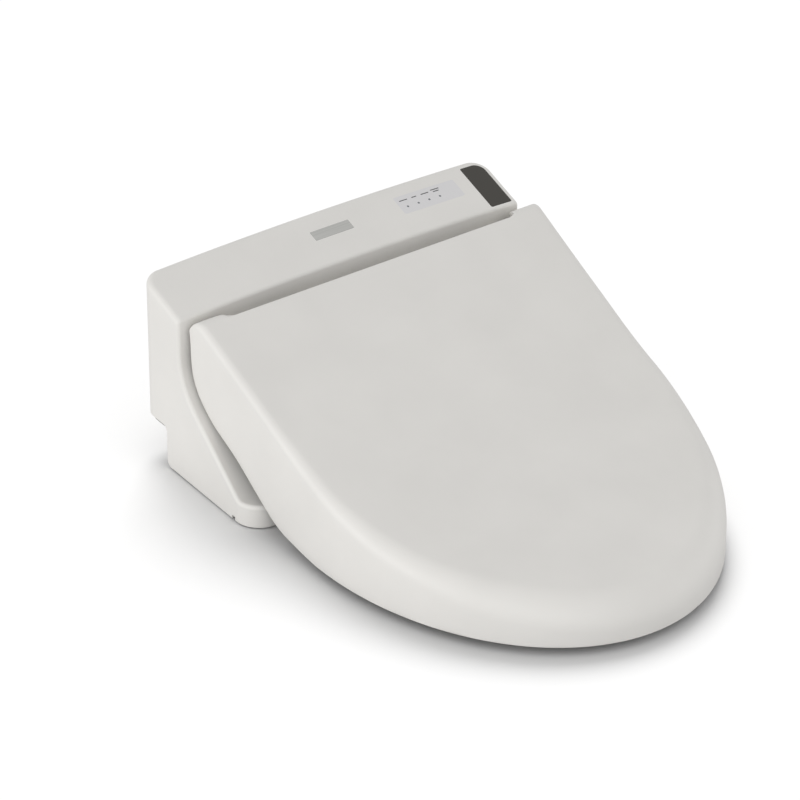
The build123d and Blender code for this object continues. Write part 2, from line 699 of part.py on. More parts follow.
def lid_space():
    """The room under the lid, open below and behind."""
    start, knee, toe = lid_top(LID_WALL)
    radius = EAR_R - LID_WALL
    ear_end = around_hinge(radius, EAR_END_ANGLE)
    behind = around_hinge(radius + NOSE_R, EAR_END_ANGLE)
    ridge = FilletPolyline(start, knee, toe, radius=[LID_KNEE_R + LID_WALL])
    rest = Polyline(toe, (toe[0], -WALL), (behind[0], -WALL), behind, ear_end)
    ear = ThreePointArc(ear_end, around_hinge(radius, 60), start)
    space = side_prism(ridge + rest + ear, -WIDE, WIDE)
    return space & plan_prism(lid_plan(LID_WALL, STEP_Y), -WALL, THROUGH)


def lid_shell():
    """The lid: a hollow skirted cover with a hinge ear at each rear corner."""
    shell = lid_solid() - lid_space()
    shell -= block(-EAR_FROM_X, EAR_FROM_X, LID_REAR_Y, STEP_Y, RAMP_Z, THROUGH)
    hub_from = SEAT_ARM_TO_X + 0.6
    hub = rod(LID_HUB_R, (hub_from, HINGE_Y, HINGE_Z), (LID_HINGE_HALF - LID_WALL + 0.5, HINGE_Y, HINGE_Z))
    shell += both_sides(hub)
    bore = rod(PIN_BORE_R, (hub_from - 1, HINGE_Y, HINGE_Z), (PIN_TO_X + 0.4, HINGE_Y, HINGE_Z))
    return shell - both_sides(bore)


def lid_buffers():
    """Two rubber stops under the lid's front that meet the seat."""
    x, y = LID_BUFFER_X, LID_BUFFER_Y
    bottom = seat_top_z(y) + PLAY
    pad = block(x - 11, x + 11, y - 5, y + 5, bottom, bottom + 3 * NOSE_R)
    return both_sides(pad & lid_space())


# Seat

def seat_top_z(y):
    """Height of the seat's flat front stretch."""
    slope = (SEAT_DISH[1] - SEAT_FRONT_Z) / (SEAT_DISH[0] - SEAT_FRONT_Y)
    return SEAT_FRONT_Z + slope * (y - SEAT_FRONT_Y)


def seat_outline(inset):
    """The seat's side view, or that of the room inside it."""
    front = SEAT_FRONT_Y
    rear = SEAT_REAR_Y - inset
    top = [(front, SEAT_FRONT_Z - inset), (SEAT_DISH[0], SEAT_DISH[1] - inset)]
    top += [(SEAT_RISE[0], SEAT_RISE[1] - 1.05 * inset), (rear, SEAT_REAR_TOP_Z - 1.6 * inset)]
    under = [(rear, SEAT_REAR_BOTTOM_Z + 0.4 * inset)]
    under += [(SEAT_UNDER[0][0], SEAT_UNDER[0][1] + 1.3 * inset)]
    under += [(SEAT_UNDER[1][0] - 0.4 * inset, SEAT_UNDER[1][1] + inset), (front, SEAT_SKIRT_Z + inset)]
    return corners(top + under, [0, 200, 60, 4, 4, 20, 15, 0])


def seat_hole(grow, z0, z1):
    """The opening of the seat ring."""
    oval = Pos(0, HOLE_MID_Y) * Ellipse(HOLE_HALF + grow, HOLE_HALF_LENGTH + grow)
    return Pos(0, 0, z0) * extrude(oval, amount=z1 - z0)


def seat_ring(inset):
    """The seat without its hinge arms, or the room inside it."""
    ring = side_prism(seat_outline(inset), -WIDE, WIDE)
    ring = ring & plan_prism(lid_plan(SEAT_INSET + inset, SEAT_REAR_Y - inset), -1, THROUGH)
    return ring - seat_hole(inset, -1, THROUGH)


def seat_floor_band():
    """The lowest layer of the seat, which belongs to its bottom shell."""
    lift = SEAT_FLOOR
    low = -WALL
    points = [(SEAT_FRONT_Y, low), (SEAT_FRONT_Y, SEAT_SKIRT_Z + lift)]
    points += [(SEAT_UNDER[1][0] - 0.4 * lift, SEAT_SKIRT_Z + lift)]
    points += [(SEAT_UNDER[0][0], SEAT_UNDER[0][1] + 1.3 * lift)]
    points += [(SEAT_REAR_Y + 1, SEAT_REAR_BOTTOM_Z + 1.3 * lift), (SEAT_REAR_Y + 1, low)]
    return side_prism(corners(points, 0), -WIDE, WIDE)


def seat_arm():
    """The right hinge arm, which climbs from the seat's rear corner to the hinge pin."""
    arm = side_prism(corners(SEAT_ARM, SEAT_ARM_RADII), SEAT_ARM_FROM_X, SEAT_ARM_TO_X)
    arm += rod(HUB_R + 0.6, (SEAT_ARM_FROM_X, HINGE_Y, HINGE_Z), (SEAT_ARM_TO_X, HINGE_Y, HINGE_Z))
    bore = rod(PIN_BORE_R, (SEAT_ARM_FROM_X - 1, HINGE_Y, HINGE_Z), (SEAT_ARM_TO_X + 1, HINGE_Y, HINGE_Z))
    return arm, bore


def at_hole(edge):
    """Whether an edge runs round the seat's opening."""
    spot = edge @ 0.5
    return hypot(spot.X / HOLE_HALF, (spot.Y - HOLE_MID_Y) / HOLE_HALF_LENGTH) < 1.03


def seat_top_shell():
    """The seat's upper moulding with both hinge arms."""
    ring = seat_ring(0)
    ring = fillet([edge for edge in walls_and_tops(ring) if at_hole(edge)], SEAT_EDGE_R)
    ring = fillet([edge for edge in walls_and_tops(ring) if not at_hole(edge)], SEAT_EDGE_R)
    arm, bore = seat_arm()
    shell = ring - seat_floor_band()
    shell += both_sides(arm - seat_floor_band())
    shell -= seat_ring(SEAT_WALL)
    return shell - both_sides(bore)


def seat_bottom_shell():
    """The plate that closes the seat from below."""
    return (seat_ring(0) & seat_floor_band()) - seat_ring(SEAT_WALL)


def seat_heater():
    """The heating foil under the seat's upper surface."""
    front, rear = -435.0, -250.0
    upper = [(y, seat_top_z(y) - FOIL_GAP) for y in (front, rear)]
    lower = [(y, seat_top_z(y) - FOIL_GAP - FOIL_THICK) for y in (rear, front)]
    sheet = side_prism(corners(upper + lower, 0), -WIDE, WIDE)
    sheet = sheet & plan_prism(lid_plan(SEAT_INSET + 12, SEAT_REAR_Y), 0, THROUGH)
    return sheet - seat_hole(12, 0, THROUGH)


def seat_buffers():
    """Four rubber stops under the seat that meet the rim."""
    spots = [(135, -215), (92, -377)]
    pads = [rectangle(x - 7, x + 7, y - 15, y + 15, [6, 6, 6, 6]) for x, y in spots]
    return both_sides(Part() + [plan_prism(pad, 0, SEAT_SKIRT_Z) for pad in pads])


# Wand and its drive

def rack():
    """The toothed bar under the wand, with a gap over the gear at rest."""
    root = RACK_PITCH_Z + TOOTH_IN
    tip = RACK_PITCH_Z - TOOTH_OUT
    end = WAND_LENGTH - 1
    bar = block(-RACK_HALF, RACK_HALF, RACK_FROM, end, root, -WAND_R + 2)
    count = int((end - GEAR_AT) / PITCH)
    half_root, half_tip = TOOTH_ROOT / 2, TOOTH_TIP / 2
    for n in range(count):
        y = GEAR_AT + (n + 0.5) * PITCH
        points = [(y - half_root, root), (y + half_root, root), (y + half_tip, tip), (y - half_tip, tip)]
        bar += side_prism(corners(points, 0), -RACK_HALF, RACK_HALF)
    return bar


def wand_tube():
    """The wand's tube with its rack."""
    tube = wand_bar(WAND_R, WAND_TIP_LENGTH, WAND_LENGTH) + rack()
    return on_wand(tube - wand_bar(WAND_BORE_R, WAND_TIP_LENGTH - 1, WAND_LENGTH - 4))


def wand_tip():
    """The nozzle head, closed in front, with spray holes on top."""
    tip = wand_bar(WAND_R, 0, WAND_TIP_LENGTH)
    tip = fillet(tip.edges().sort_by(Axis.Y)[0], WAND_NOSE_R)
    tip -= wand_bar(WAND_BORE_R, 6, WAND_TIP_LENGTH + 1)
    return on_wand(tip - [rod(SPRAY_R, (x, y, 0), (x, y, WAND_R + 1)) for x, y in SPRAY_HOLES])


def at_gear(part):
    """Place a piece drawn round the gear's centre."""
    return on_wand(Pos(0, GEAR_AT, GEAR_Z) * part)


def drive_pinion():
    """The gear that drives the rack, on the stub of its motor shaft."""
    root_r = GEAR_R - TOOTH_IN
    tip_r = GEAR_R + TOOTH_OUT
    foot_r = root_r - 0.6
    half_root, half_tip = TOOTH_ROOT / 2, TOOTH_TIP / 2
    points = [(-half_root, foot_r), (half_root, foot_r), (half_tip, tip_r), (-half_tip, tip_r)]
    tooth = side_prism(corners(points, 0), -GEAR_HALF, GEAR_HALF)
    gear = rod(root_r, (-GEAR_HALF, 0, 0), (GEAR_HALF, 0, 0))
    gear += [Rot(n * 360 / GEAR_TEETH, 0, 0) * tooth for n in range(GEAR_TEETH)]
    return at_gear(gear + rod(SHAFT_R, (GEAR_HALF, 0, 0), (SHAFT_TO_X, 0, 0)))


def wand_motor():
    """The small stepper motor beside the gear, with two fixing ears."""
    x0, x1 = MOTOR_SPAN
    ear_reach = MOTOR_R + 6
    ears = block(x0, x0 + 1.5, -ear_reach, ear_reach, -4, 4)
    ears -= [rod(1.6, (x0 - 1, y, 0), (x0 + 3, y, 0)) for y in (3 - ear_reach, ear_reach - 3)]
    socket = rod(SHAFT_R + 0.2, (x0 - 1, 0, 0), (SHAFT_TO_X + 2, 0, 0))
    return at_gear(rod(MOTOR_R, (x0, 0, 0), (x1, 0, 0)) + ears - socket)


def wand_guide():
    """Two rings that carry the wand, joined by a rail and standing on legs."""
    half, top = GUIDE_HALF, GUIDE_HALF
    rail_from, rail_to = RING_FROM[0], RING_FROM[1] + RING_LONG
    guide = block(-RAIL_HALF, RAIL_HALF, rail_from, rail_to, WAND_R + 1, top)
    guide += [block(-half, half, y, y + RING_LONG, RING_LOW, top) for y in RING_FROM]
    guide -= wand_bar(WAND_R + 0.5, 0, WAND_LENGTH)
    guide -= block(-RACK_HALF - 1.5, RACK_HALF + 1.5, 0, WAND_LENGTH, 2 * RING_LOW, 0)
    guide = on_wand(guide)
    for y0, y1, z1 in GUIDE_LEGS:
        guide += both_sides(block(half - 3, half, y0, y1, BAY_Z + CASE_THICK, z1))
    return guide & unit_space(WALL + 0.2)


# Water

def upright(radius, z0, z1):
    """A round bar on the inlet's axis."""
    return rod(radius, (INLET_X, INLET_Y, z0), (INLET_X, INLET_Y, z1))


def water_inlet():
    """The threaded spigot for the supply hose, pointing down under the raised rear."""
    thread = upright(INLET_R, INLET_TIP_Z, THREAD_TOP_Z)
    spigot = thread + upright(NECK_R, THREAD_TOP_Z, REAR_FLOOR_TOP)
    spigot += upright(INLET_FLANGE_R, REAR_FLOOR_TOP, VALVE_Z)
    return spigot - upright(INLET_BORE_R, INLET_TIP_Z - 1, VALVE_Z + 1)


def inlet_valve():
    """The solenoid valve on the inlet, with its coil's two terminals."""
    x, y, half = INLET_X, INLET_Y, VALVE_HALF
    body = block(x - half, x + half, y - half, y + half, VALVE_Z, VALVE_TOP_Z)
    coil = upright(COIL_R, VALVE_TOP_Z, COIL_TOP_Z)
    outlet = rod(PIPE_R, (x + half - 1, y, PIPE_Z), (x + half + PIPE_STUB, y, PIPE_Z))
    terminals = [block(x - 6, x - 5, y - COIL_R - 6, y - COIL_R + 3, z, z + 3) for z in TERMINAL_ZS]
    return body + coil + outlet + terminals - upright(INLET_BORE_R, VALVE_Z - 1, PIPE_Z + 2)


def hose(radius, x0, x1, y, z):
    """A short straight hose with its bore."""
    return rod(radius, (x0, y, z), (x1, y, z)) - rod(BORE_PART * radius, (x0 - 1, y, z), (x1 + 1, y, z))


def outlet_bore(x0, x1):
    """The water's way through the tank's outlet and the spray valve's stub."""
    return rod(BORE_PART * OUTLET_R, (x0, OUTLET_Y, OUTLET_Z), (x1, OUTLET_Y, OUTLET_Z))


def water_tank():
    """The heated water tank with its inlet and outlet stubs."""
    x0, x1, y0, y1, z0, z1 = TANK
    wall = TANK_WALL
    tank = fillet(block(*TANK).edges().filter_by(Axis.Z), TANK_CORNER_R)
    inside = block(x0 + wall, x1 - wall, y0 + wall, y1 - wall, z0 + wall, z1 - wall)
    tank += rod(PIPE_R, (x0 - PIPE_STUB, INLET_Y, PIPE_Z), (x0 + 1, INLET_Y, PIPE_Z))
    tank += rod(OUTLET_R, (x1 - 1, OUTLET_Y, OUTLET_Z), (x1 + OUTLET_STUB, OUTLET_Y, OUTLET_Z))
    tank -= fillet(inside.edges().filter_by(Axis.Z), TANK_CORNER_R - wall)
    tank -= rod(BORE_PART * PIPE_R, (x0 - 2 * PIPE_STUB, INLET_Y, PIPE_Z), (x0 + wall + 2, INLET_Y, PIPE_Z))
    tank -= outlet_bore(x1 - wall - 2, x1 + 2 * OUTLET_STUB)
    middle = (x0 + x1) / 2
    return tank - rod(HEATER_NECK_R + 0.2, (middle, HEATER_Y, z1 - wall - 1), (middle, HEATER_Y, z1 + 1))


def tank_heater():
    """The heating rod that hangs in the tank from its flange."""
    x0, x1, y0, y1, z0, z1 = TANK
    x, y = (x0 + x1) / 2, HEATER_Y
    neck_z = z1 - 2 * TANK_WALL
    low = z0 + 14
    flange = rod(HEATER_FLANGE_R, (x, y, z1), (x, y, z1 + 3)) + rod(HEATER_NECK_R, (x, y, neck_z), (x, y, z1))
    legs = [(x - 5, y, neck_z), (x - 5, y, low), (x + 5, y, low), (x + 5, y, neck_z)]
    return flange + path_tube(legs, HEATER_ROD_R, 4.9)


def hose_valve_tank():
    """The short hose between valve and tank."""
    return hose(PIPE_R, INLET_X + VALVE_HALF + PIPE_STUB, TANK[0] - PIPE_STUB, INLET_Y, PIPE_Z)


def spray_valve():
    """The valve that sends water to the wand's nozzles."""
    x0, x1, y0, y1, z0, z1 = SPRAY_BODY
    spout_x = (x0 + x1) / 2
    body = block(*SPRAY_BODY)
    body += rod(SPOUT_R, (spout_x, OUTLET_Y, z1), (spout_x, OUTLET_Y, z1 + SPOUT_LENGTH))
    body += rod(OUTLET_R, (x0 - OUTLET_STUB, OUTLET_Y, OUTLET_Z), (x0 + 1, OUTLET_Y, OUTLET_Z))
    return body - outlet_bore(x0 - 2 * OUTLET_STUB, spout_x)


def hose_tank_valve():
    """The hose between tank and spray valve."""
    return hose(OUTLET_R, TANK[1] + OUTLET_STUB, SPRAY_BODY[0] - OUTLET_STUB, OUTLET_Y, OUTLET_Z)


# Dryer

def fan_rotor(radius, hub_r, x0, x1, y, z, blades):
    """A drum fan: a hub on a back disc, with straight blades round its rim."""
    rim = radius - BLADE_DEEP
    rotor = rod(radius, (x0, y, z), (x0 + DISC_THICK, y, z)) + rod(hub_r, (x0, y, z), (x1 - 4, y, z))
    rotor += rod(radius, (x1 - DISC_THICK, y, z), (x1, y, z)) - rod(rim, (x1 - 2, y, z), (x1 + 1, y, z))
    blade = block(x0 + 1, x1 - 1, -0.5, 0.5, rim - 0.4, radius - 0.2)
    return rotor + [Pos(0, y, z) * Rot(n * 360 / blades, 0, 0) * blade for n in range(blades)]


def dryer_bar(radius, x0, x1):
    """A round bar on the dryer fan's axis."""
    return rod(radius, (x0, DRYER_Y, DRYER_Z), (x1, DRYER_Y, DRYER_Z))


def dryer_housing():
    """The dryer's fan case, open on its right side and towards the duct below."""
    x0, x1, wall = DRYER_FROM_X, DRYER_TO_X, FAN_WALL
    case = dryer_bar(DRYER_R, x0, x1) - dryer_bar(DRYER_R - wall, x0 + wall, x1 - wall)
    case -= dryer_bar(DRYER_INTAKE_R, x1 - wall - 1, x1 + 1)
    case += dryer_bar(FAN_STUB_R, x0 + 1, x0 + wall + 3)
    for x in (x0 + wall, x1 - wall - 4):
        case += block(x, x + 4, DRYER_Y + 8, DRYER_Y + 16, REAR_FLOOR_TOP, DRYER_Z - 20)
    y0, y1 = DUCT_TOP[0][0] + 1.5, DUCT_TOP[1][0] - 1.5
    return case - block(x0 + wall, x1 - wall, y0, y1, DRYER_Z - 30, DRYER_Z - 14)


def dryer_duct():
    """The air duct from the fan down to the flap."""
    x0, x1 = DRYER_FROM_X + 0.5, DRYER_TO_X - 0.5
    points = [*DUCT_TOP, *DUCT_UNDER, *DUCT_OVER]
    duct = side_prism(corners(points, [0, 0, DUCT_BEND_R, 0, 0, DUCT_BEND_R]), x0, x1)
    duct -= side_prism(corners(DUCT_ROOM, 0), x0 + FAN_WALL, x1 - FAN_WALL)
    duct -= dryer_bar(DRYER_R + 0.05, x0 - 1, x1 + 1)
    return duct & unit_space(WALL + 0.3)


def dryer_heater():
    """The heater frame across the duct, with its wires."""
    x0, x1 = DRYER_FROM_X + 3, DRYER_TO_X - 3
    y, z = HEATER_FRAME_AT
    deep, tall = HEATER_FRAME_HALF
    frame = block(x0, x1, y - deep, y + deep, z - tall, z + tall)
    frame -= block(x0 + FAN_WALL, x1 - FAN_WALL, y - deep - 1, y + deep + 1, z - tall + 1.5, z + tall - 1.5)
    return frame + [rod(WIRE_R, (x0 + 1, y, z + dz), (x1 - 1, y, z + dz)) for dz in (-3, 0, 3)]


def dryer_flap():
    """The flap that closes the air outlet, flush with the ramp and hinged along its top."""
    ends = FLAP_HALF + FLAP_PIN_LENGTH
    plate = block(-FLAP_HALF, FLAP_HALF, -FLAP_LENGTH - 0.6, FLAP_AXIS, FLAP_AXIS - 1, FLAP_AXIS + 1)
    plate += rod(1, (-FLAP_HALF, FLAP_AXIS, FLAP_AXIS), (FLAP_HALF, FLAP_AXIS, FLAP_AXIS))
    return on_ramp(plate + rod(FLAP_PIN_R, (-ends, FLAP_AXIS, FLAP_AXIS), (ends, FLAP_AXIS, FLAP_AXIS)))


# Deodoriser

def deo_bar(radius, x0, x1):
    """A round bar on the deodoriser fan's axis."""
    return rod(radius, (x0, DEO_Y, DEO_Z), (x1, DEO_Y, DEO_Z))


def deodorizer_housing():
    """The deodoriser's fan case, open towards its filter and on its rear."""
    x0, x1, wall = DEO_FROM_X, DEO_TO_X, FAN_WALL
    case = deo_bar(DEO_R, x0, x1) - deo_bar(DEO_R - wall, x0 + wall, x1 - wall)
    case -= deo_bar(DEO_INTAKE_R, x1 - wall - 1, x1 + 1)
    case -= block(x0 + 8, x1 - 8, DEO_Y + 10, DEO_Y + 20, DEO_Z - 6, DEO_Z + 6)
    case += deo_bar(FAN_STUB_R - 0.5, x0 + 1, x0 + wall + 2)
    return case + block(x0 + 6, x1 - 6, DEO_Y - 8, DEO_Y + 8, FLOOR_TOP, DEO_Z - DEO_R + 1)


def filter_cartridge():
    """The deodorising filter, which pulls out of the right side by its front."""
    y0, y1 = FILTER_Y0 + PLAY, FILTER_Y1 - PLAY
    z0, z1 = FILTER_Z0 + PLAY, FILTER_Z1 - PLAY
    inner = UNIT_RIGHT - WALL
    face = block(inner, UNIT_RIGHT - 0.2, y0, y1, z0, z1)
    face -= block(UNIT_RIGHT - 1.6, UNIT_RIGHT, y0 + 6, y1 - 6, z0 + 8, z0 + 12)
    frame = block(FILTER_FROM_X, inner, y0 + 2, y1 - 2, z0 + 2, z1 - 2)
    frame -= block(FILTER_FROM_X + 3, inner - 4, y0 + 5, y1 - 5, z0, z1)
    frame -= deo_bar(DEO_INTAKE_R - 1, FILTER_FROM_X - 1, FILTER_FROM_X + 4)
    return face + frame + [block(x, x + 2, y0 + 4, y1 - 4, z0 + 2, z1 - 2) for x in SLAT_XS]


# Release button and latch

def release_button():
    """The side button that lets the unit slide off its plate."""
    outer = UNIT_RIGHT - 0.2
    y0, y1 = BUTTON_Y - BUTTON_HALF_Y, BUTTON_Y + BUTTON_HALF_Y
    cap = block(CAP_X, outer, y0, y1, BUTTON_Z - BUTTON_HALF_Z, BUTTON_Z + BUTTON_HALF_Z)
    cap = fillet(cap.edges().filter_by(Axis.X), BUTTON_CORNER_R)
    return cap + rod(STEM_R, (STEM_FROM_X, BUTTON_Y, BUTTON_Z), (CAP_X + 1, BUTTON_Y, BUTTON_Z))


def button_spring():
    """The button's return spring, as a sleeve of the spring's size round the stem."""
    start, end = GUIDE_X + CASE_THICK, CAP_X
    sleeve = rod(SPRING_R, (start, BUTTON_Y, BUTTON_Z), (end, BUTTON_Y, BUTTON_Z))
    return sleeve - rod(SPRING_R - 1, (start - 1, BUTTON_Y, BUTTON_Z), (end + 1, BUTTON_Y, BUTTON_Z))


def latch_rod(radius, half):
    """A round bar on the latch's axis."""
    return rod(radius, (LATCH_X, BUTTON_Y - half, LATCH_Z), (LATCH_X, BUTTON_Y + half, LATCH_Z))


def latch_lever():
    """The rocker that the button turns to lift its hook out of the base plate."""
    outline = make_face(Polyline(*[(LATCH_X + dx, LATCH_Z + dz) for dx, dz in LATCH_OUTLINE], close=True))
    lever = Pos(0, BUTTON_Y, 0) * extrude(Plane.XZ * outline, amount=LATCH_HALF, both=True)
    return lever - latch_rod(LATCH_PIN_R + RUNNING, 2 * LATCH_HALF)


def latch_pin():
    """The pin that the latch rocks on."""
    return latch_rod(LATCH_PIN_R, LATCH_PIN_HALF)


# Electronics

def board(x0, x1, y0, y1, z, chips):
    """A circuit board with blocks for its larger components, each (x, y, width, depth, height)."""
    top = z + BOARD_THICK
    part = block(x0, x1, y0, y1, z, top)
    for x, y, width, depth, height in chips:
        part += block(x, x + width, y, y + depth, top, top + height)
    return part


def gland_bar(radius, z0, z1):
    """A round bar on the gland's axis."""
    return rod(radius, (GLAND_X, GLAND_Y, z0), (GLAND_X, GLAND_Y, z1))


def cord_gland():
    """The grommet for the mains lead, under the raised rear."""
    low, top = CASE_REAR_Z, REAR_FLOOR_TOP
    gland = gland_bar(GLAND_R, low - 6, top) + gland_bar(GLAND_FLANGE_R, low - 3, low)
    gland += gland_bar(GLAND_FLANGE_R, top, top + 3)
    return gland - gland_bar(CORD_R, low - 7, top + 4)


os.makedirs("parts", exist_ok=True)
NODES = {
    "base_plate": base_plate(),
    "lower_case": lower_case(),
    "top_cover": top_cover(),
    "case_screws": case_screws(),
    "rubber_feet": rubber_feet(),
    "sensor_window": sensor_window,
    "indicator_panel": indicator_panel,
    "indicator_lights": indicator_lights,
    "badge_plate": badge_plate,
    "hinge_damper_right": hinge_damper(),
    "hinge_damper_left": mirror(hinge_damper(), about=Plane.YZ),
    "water_inlet": water_inlet(),
    "inlet_valve": inlet_valve(),
    "hose_valve_tank": hose_valve_tank(),
    "water_tank": water_tank(),
    "tank_heater": tank_heater(),
    "hose_tank_valve": hose_tank_valve(),
    "spray_valve": spray_valve(),
    "wand_guide": wand_guide(),
    "wand_motor": wand_motor(),
    "drive_pinion": drive_pinion(),
    "wand_tube": wand_tube(),
    "wand_tip": wand_tip(),
    "dryer_housing": dryer_housing(),
    "dryer_rotor": fan_rotor(DRYER_ROTOR_R, 5, DRYER_FROM_X + 6, DRYER_TO_X - 4, DRYER_Y, DRYER_Z, 16),
    "dryer_heater": dryer_heater(),
    "dryer_duct": dryer_duct(),
    "dryer_flap": dryer_flap(),
    "deodorizer_housing": deodorizer_housing(),
    "deodorizer_rotor": fan_rotor(DEO_ROTOR_R, 4, DEO_FROM_X + 5, DEO_TO_X - 4, DEO_Y, DEO_Z, 12),
    "filter_cartridge": filter_cartridge(),
    "release_button": release_button(),
    "button_spring": button_spring(),
    "latch_lever": latch_lever(),
    "latch_pin": latch_pin(),
    "control_board": board(*CONTROL_BOARD, CONTROL_CHIPS),
    "power_board": board(*POWER_BOARD, POWER_CHIPS),
    "cord_gland": cord_gland(),
    "seat_top_shell": seat_top_shell(),
    "seat_bottom_shell": seat_bottom_shell(),
    "seat_heater": seat_heater(),
    "seat_buffers": seat_buffers(),
    "lid_shell": lid_shell(),
    "lid_buffers": lid_buffers(),
}
for name, part in NODES.items():
    save(name, part)
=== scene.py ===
import json
from math import atan, cos, degrees, hypot, pi, radians, sin, sqrt, tan

import bmesh
import bpy
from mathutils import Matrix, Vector


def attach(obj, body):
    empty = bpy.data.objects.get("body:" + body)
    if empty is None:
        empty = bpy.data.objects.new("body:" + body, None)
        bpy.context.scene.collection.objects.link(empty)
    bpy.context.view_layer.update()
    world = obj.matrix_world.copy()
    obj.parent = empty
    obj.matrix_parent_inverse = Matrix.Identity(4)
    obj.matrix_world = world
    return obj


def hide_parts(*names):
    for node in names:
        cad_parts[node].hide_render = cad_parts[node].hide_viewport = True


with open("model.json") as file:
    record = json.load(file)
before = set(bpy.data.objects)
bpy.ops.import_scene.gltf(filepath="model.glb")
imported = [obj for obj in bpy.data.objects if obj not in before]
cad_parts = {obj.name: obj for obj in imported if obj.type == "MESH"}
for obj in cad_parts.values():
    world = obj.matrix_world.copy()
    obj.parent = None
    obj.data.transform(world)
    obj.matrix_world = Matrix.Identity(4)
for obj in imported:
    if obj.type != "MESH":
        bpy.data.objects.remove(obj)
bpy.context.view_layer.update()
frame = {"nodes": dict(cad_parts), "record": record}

# An electric bidet seat: a moulded rear unit, a heated seat ring and a deep sloping lid.
# Lengths in this script are millimetres unless a name ends in _M; MM turns them into metres.

MM = 0.001

# Hinge line and lid, in the frame's axes: +Y to the rear, +Z up
HINGE_Y = -22.0
HINGE_Z = 151.0
EAR_R = 15.07
EAR_SHELL_ANGLE = 12.0
REAR_EDGE_ANGLE = 99.9
EAR_STEP = (155.0, 165.0)
EAR_EDGE_R = 3.2
EAR_EDGE_ANGLE = 45.0
LID_SLOPE = 0.435
LID_FRONT_SLOPE = 0.14
LID_FRONT_Y = -400.0
LID_FRONT_Z = 54.0
LID_KNEE_R = 700.0
LID_TIP_Y = -451.5
LID_BELLY_Y = -200.0
LID_BELLY_HALF = 186.0
LID_HINGE_HALF = 188.0
LID_ROUNDNESS = 2.0
LID_SKIRT_Z = 8.0
LID_WALL = 3.0
LID_EDGE_SOFT = 0.7
LID_EDGE_SEGMENTS = 3
LID_EDGE_ANGLE = 50.0
# The skirt's lower edge below the ear, in (y, z)
SKIRT_POINTS = [
    (-8.3, 146.0),
    (-12.8, 104.5),
    (-37.5, 76.0),
    (-78.5, 54.5),
    (-135.0, 19.5),
    (-170.0, 11.0),
    (-200.0, 8.0),
]
# The crease between the lid's top and its skirt: y and radius
CREASE_RADII = [
    (-20.0, 7.0),
    (-116.0, 8.0),
    (-200.0, 11.0),
    (-300.0, 17.0),
    (-400.0, 24.0),
    (-451.5, 25.0),
]
# Places across half the lid's top, on a scale that ends at COLUMN_SPAN, closer where the ears step back
COLUMN_SPAN = 175.0
COLUMN_STEPS = [0, 24, 48, 72, 96, 116, 132, 141, 146, 148, 149.5, 150.5, 151.5, 152.5, 153.5]
COLUMN_STEPS += [154.5, 155.5, 156.5, 157.5, 158.5, 160, 163, 168]
BOSS_R = 11.0
BOSS_BORE_R = 3.6
BOSS_SPAN = (173.8, 185.4)

# The unit's top face, which slopes forward and is crowned across
UNIT_X = -10.5
UNIT_HALF = 187.5
FACE_Y = -3.2
TOP_FRONT_Z = 164.0
TOP_SLOPE = 0.317
TOP_CROWN = 4.1
# Plain marks above the panel's lights: middle x, y, length
PANEL_MARKS = [
    (74.5, 37.0, 9.0),
    (86.5, 37.0, 5.4),
    (98.5, 37.0, 8.6),
    (110.5, 38.2, 9.4),
    (110.5, 35.8, 6.6),
]
MARK_WIDE = 1.0
MARK_THICK = 0.06
MARK_END_STEPS = 9

# The threaded water inlet under the raised rear
INLET_X = -148.0
INLET_Y = 38.0
INLET_TIP_Z = 12.0
INLET_THREAD_TOP = 36.0
INLET_R = 10.48
INLET_CHAMFER = 1.2
THREAD_PITCH = 1.814
THREAD_DEEP = 1.0
THREAD_SIDES = 72
THREAD_ROWS = 132
# The spigot's neck, flange and bore above and inside the thread: radius and z
INLET_COLLAR = [(9.0, 36.0), (9.0, 40.0), (14.0, 40.0), (14.0, 43.0), (6.0, 43.0), (6.0, 12.0)]

# Camera at the photograph's angle
VIEW_AZIMUTH = -35.01
VIEW_ELEVATION = 32.16
VIEW_TARGET = (-14.7, -85.5, 58.8)
VIEW_DISTANCE = 4412.0
VIEW_LENS = 219.49
VIEW_CLIP_M = 100.0

# Mesh and shading detail
CURVE_STEPS = 24
SAME_PLACE_M = 1e-6
SHARP_ANGLE = 40.0
FLOW_SCALE = 14.0
CLOUD_SCALE = 60.0
SCRATCH_SCALE = 900.0
BOARD_SCALE = 120.0


# Small helpers

def srgb(red, green, blue):
    """A linear colour from 8-bit display values."""
    return tuple(((v / 255 + 0.055) / 1.055) ** 2.4 for v in (red, green, blue)) + (1.0,)


def smooth(t):
    """A soft step from 0 to 1."""
    t = max(0.0, min(1.0, t))
    return t * t * (3 - 2 * t)


def mix(a, b, t):
    """A value between a and b."""
    return a + (b - a) * t


def along(table, x):
    """The value at x of a table of (place, value) pairs, eased between its rows."""
    rows = sorted(table)
    if x <= rows[0][0]:
        return rows[0][1]
    for (x0, v0), (x1, v1) in zip(rows, rows[1:]):
        if x <= x1:
            return mix(v0, v1, smooth((x - x0) / (x1 - x0)))
    return rows[-1][1]


def spline(p, q, r, s, t):
    """A value on the smooth curve from q to r whose neighbours are p and s."""
    square = 2 * p - 5 * q + 4 * r - s
    cube = 3 * q - p - 3 * r + s
    return 0.5 * (2 * q + (r - p) * t + square * t**2 + cube * t**3)


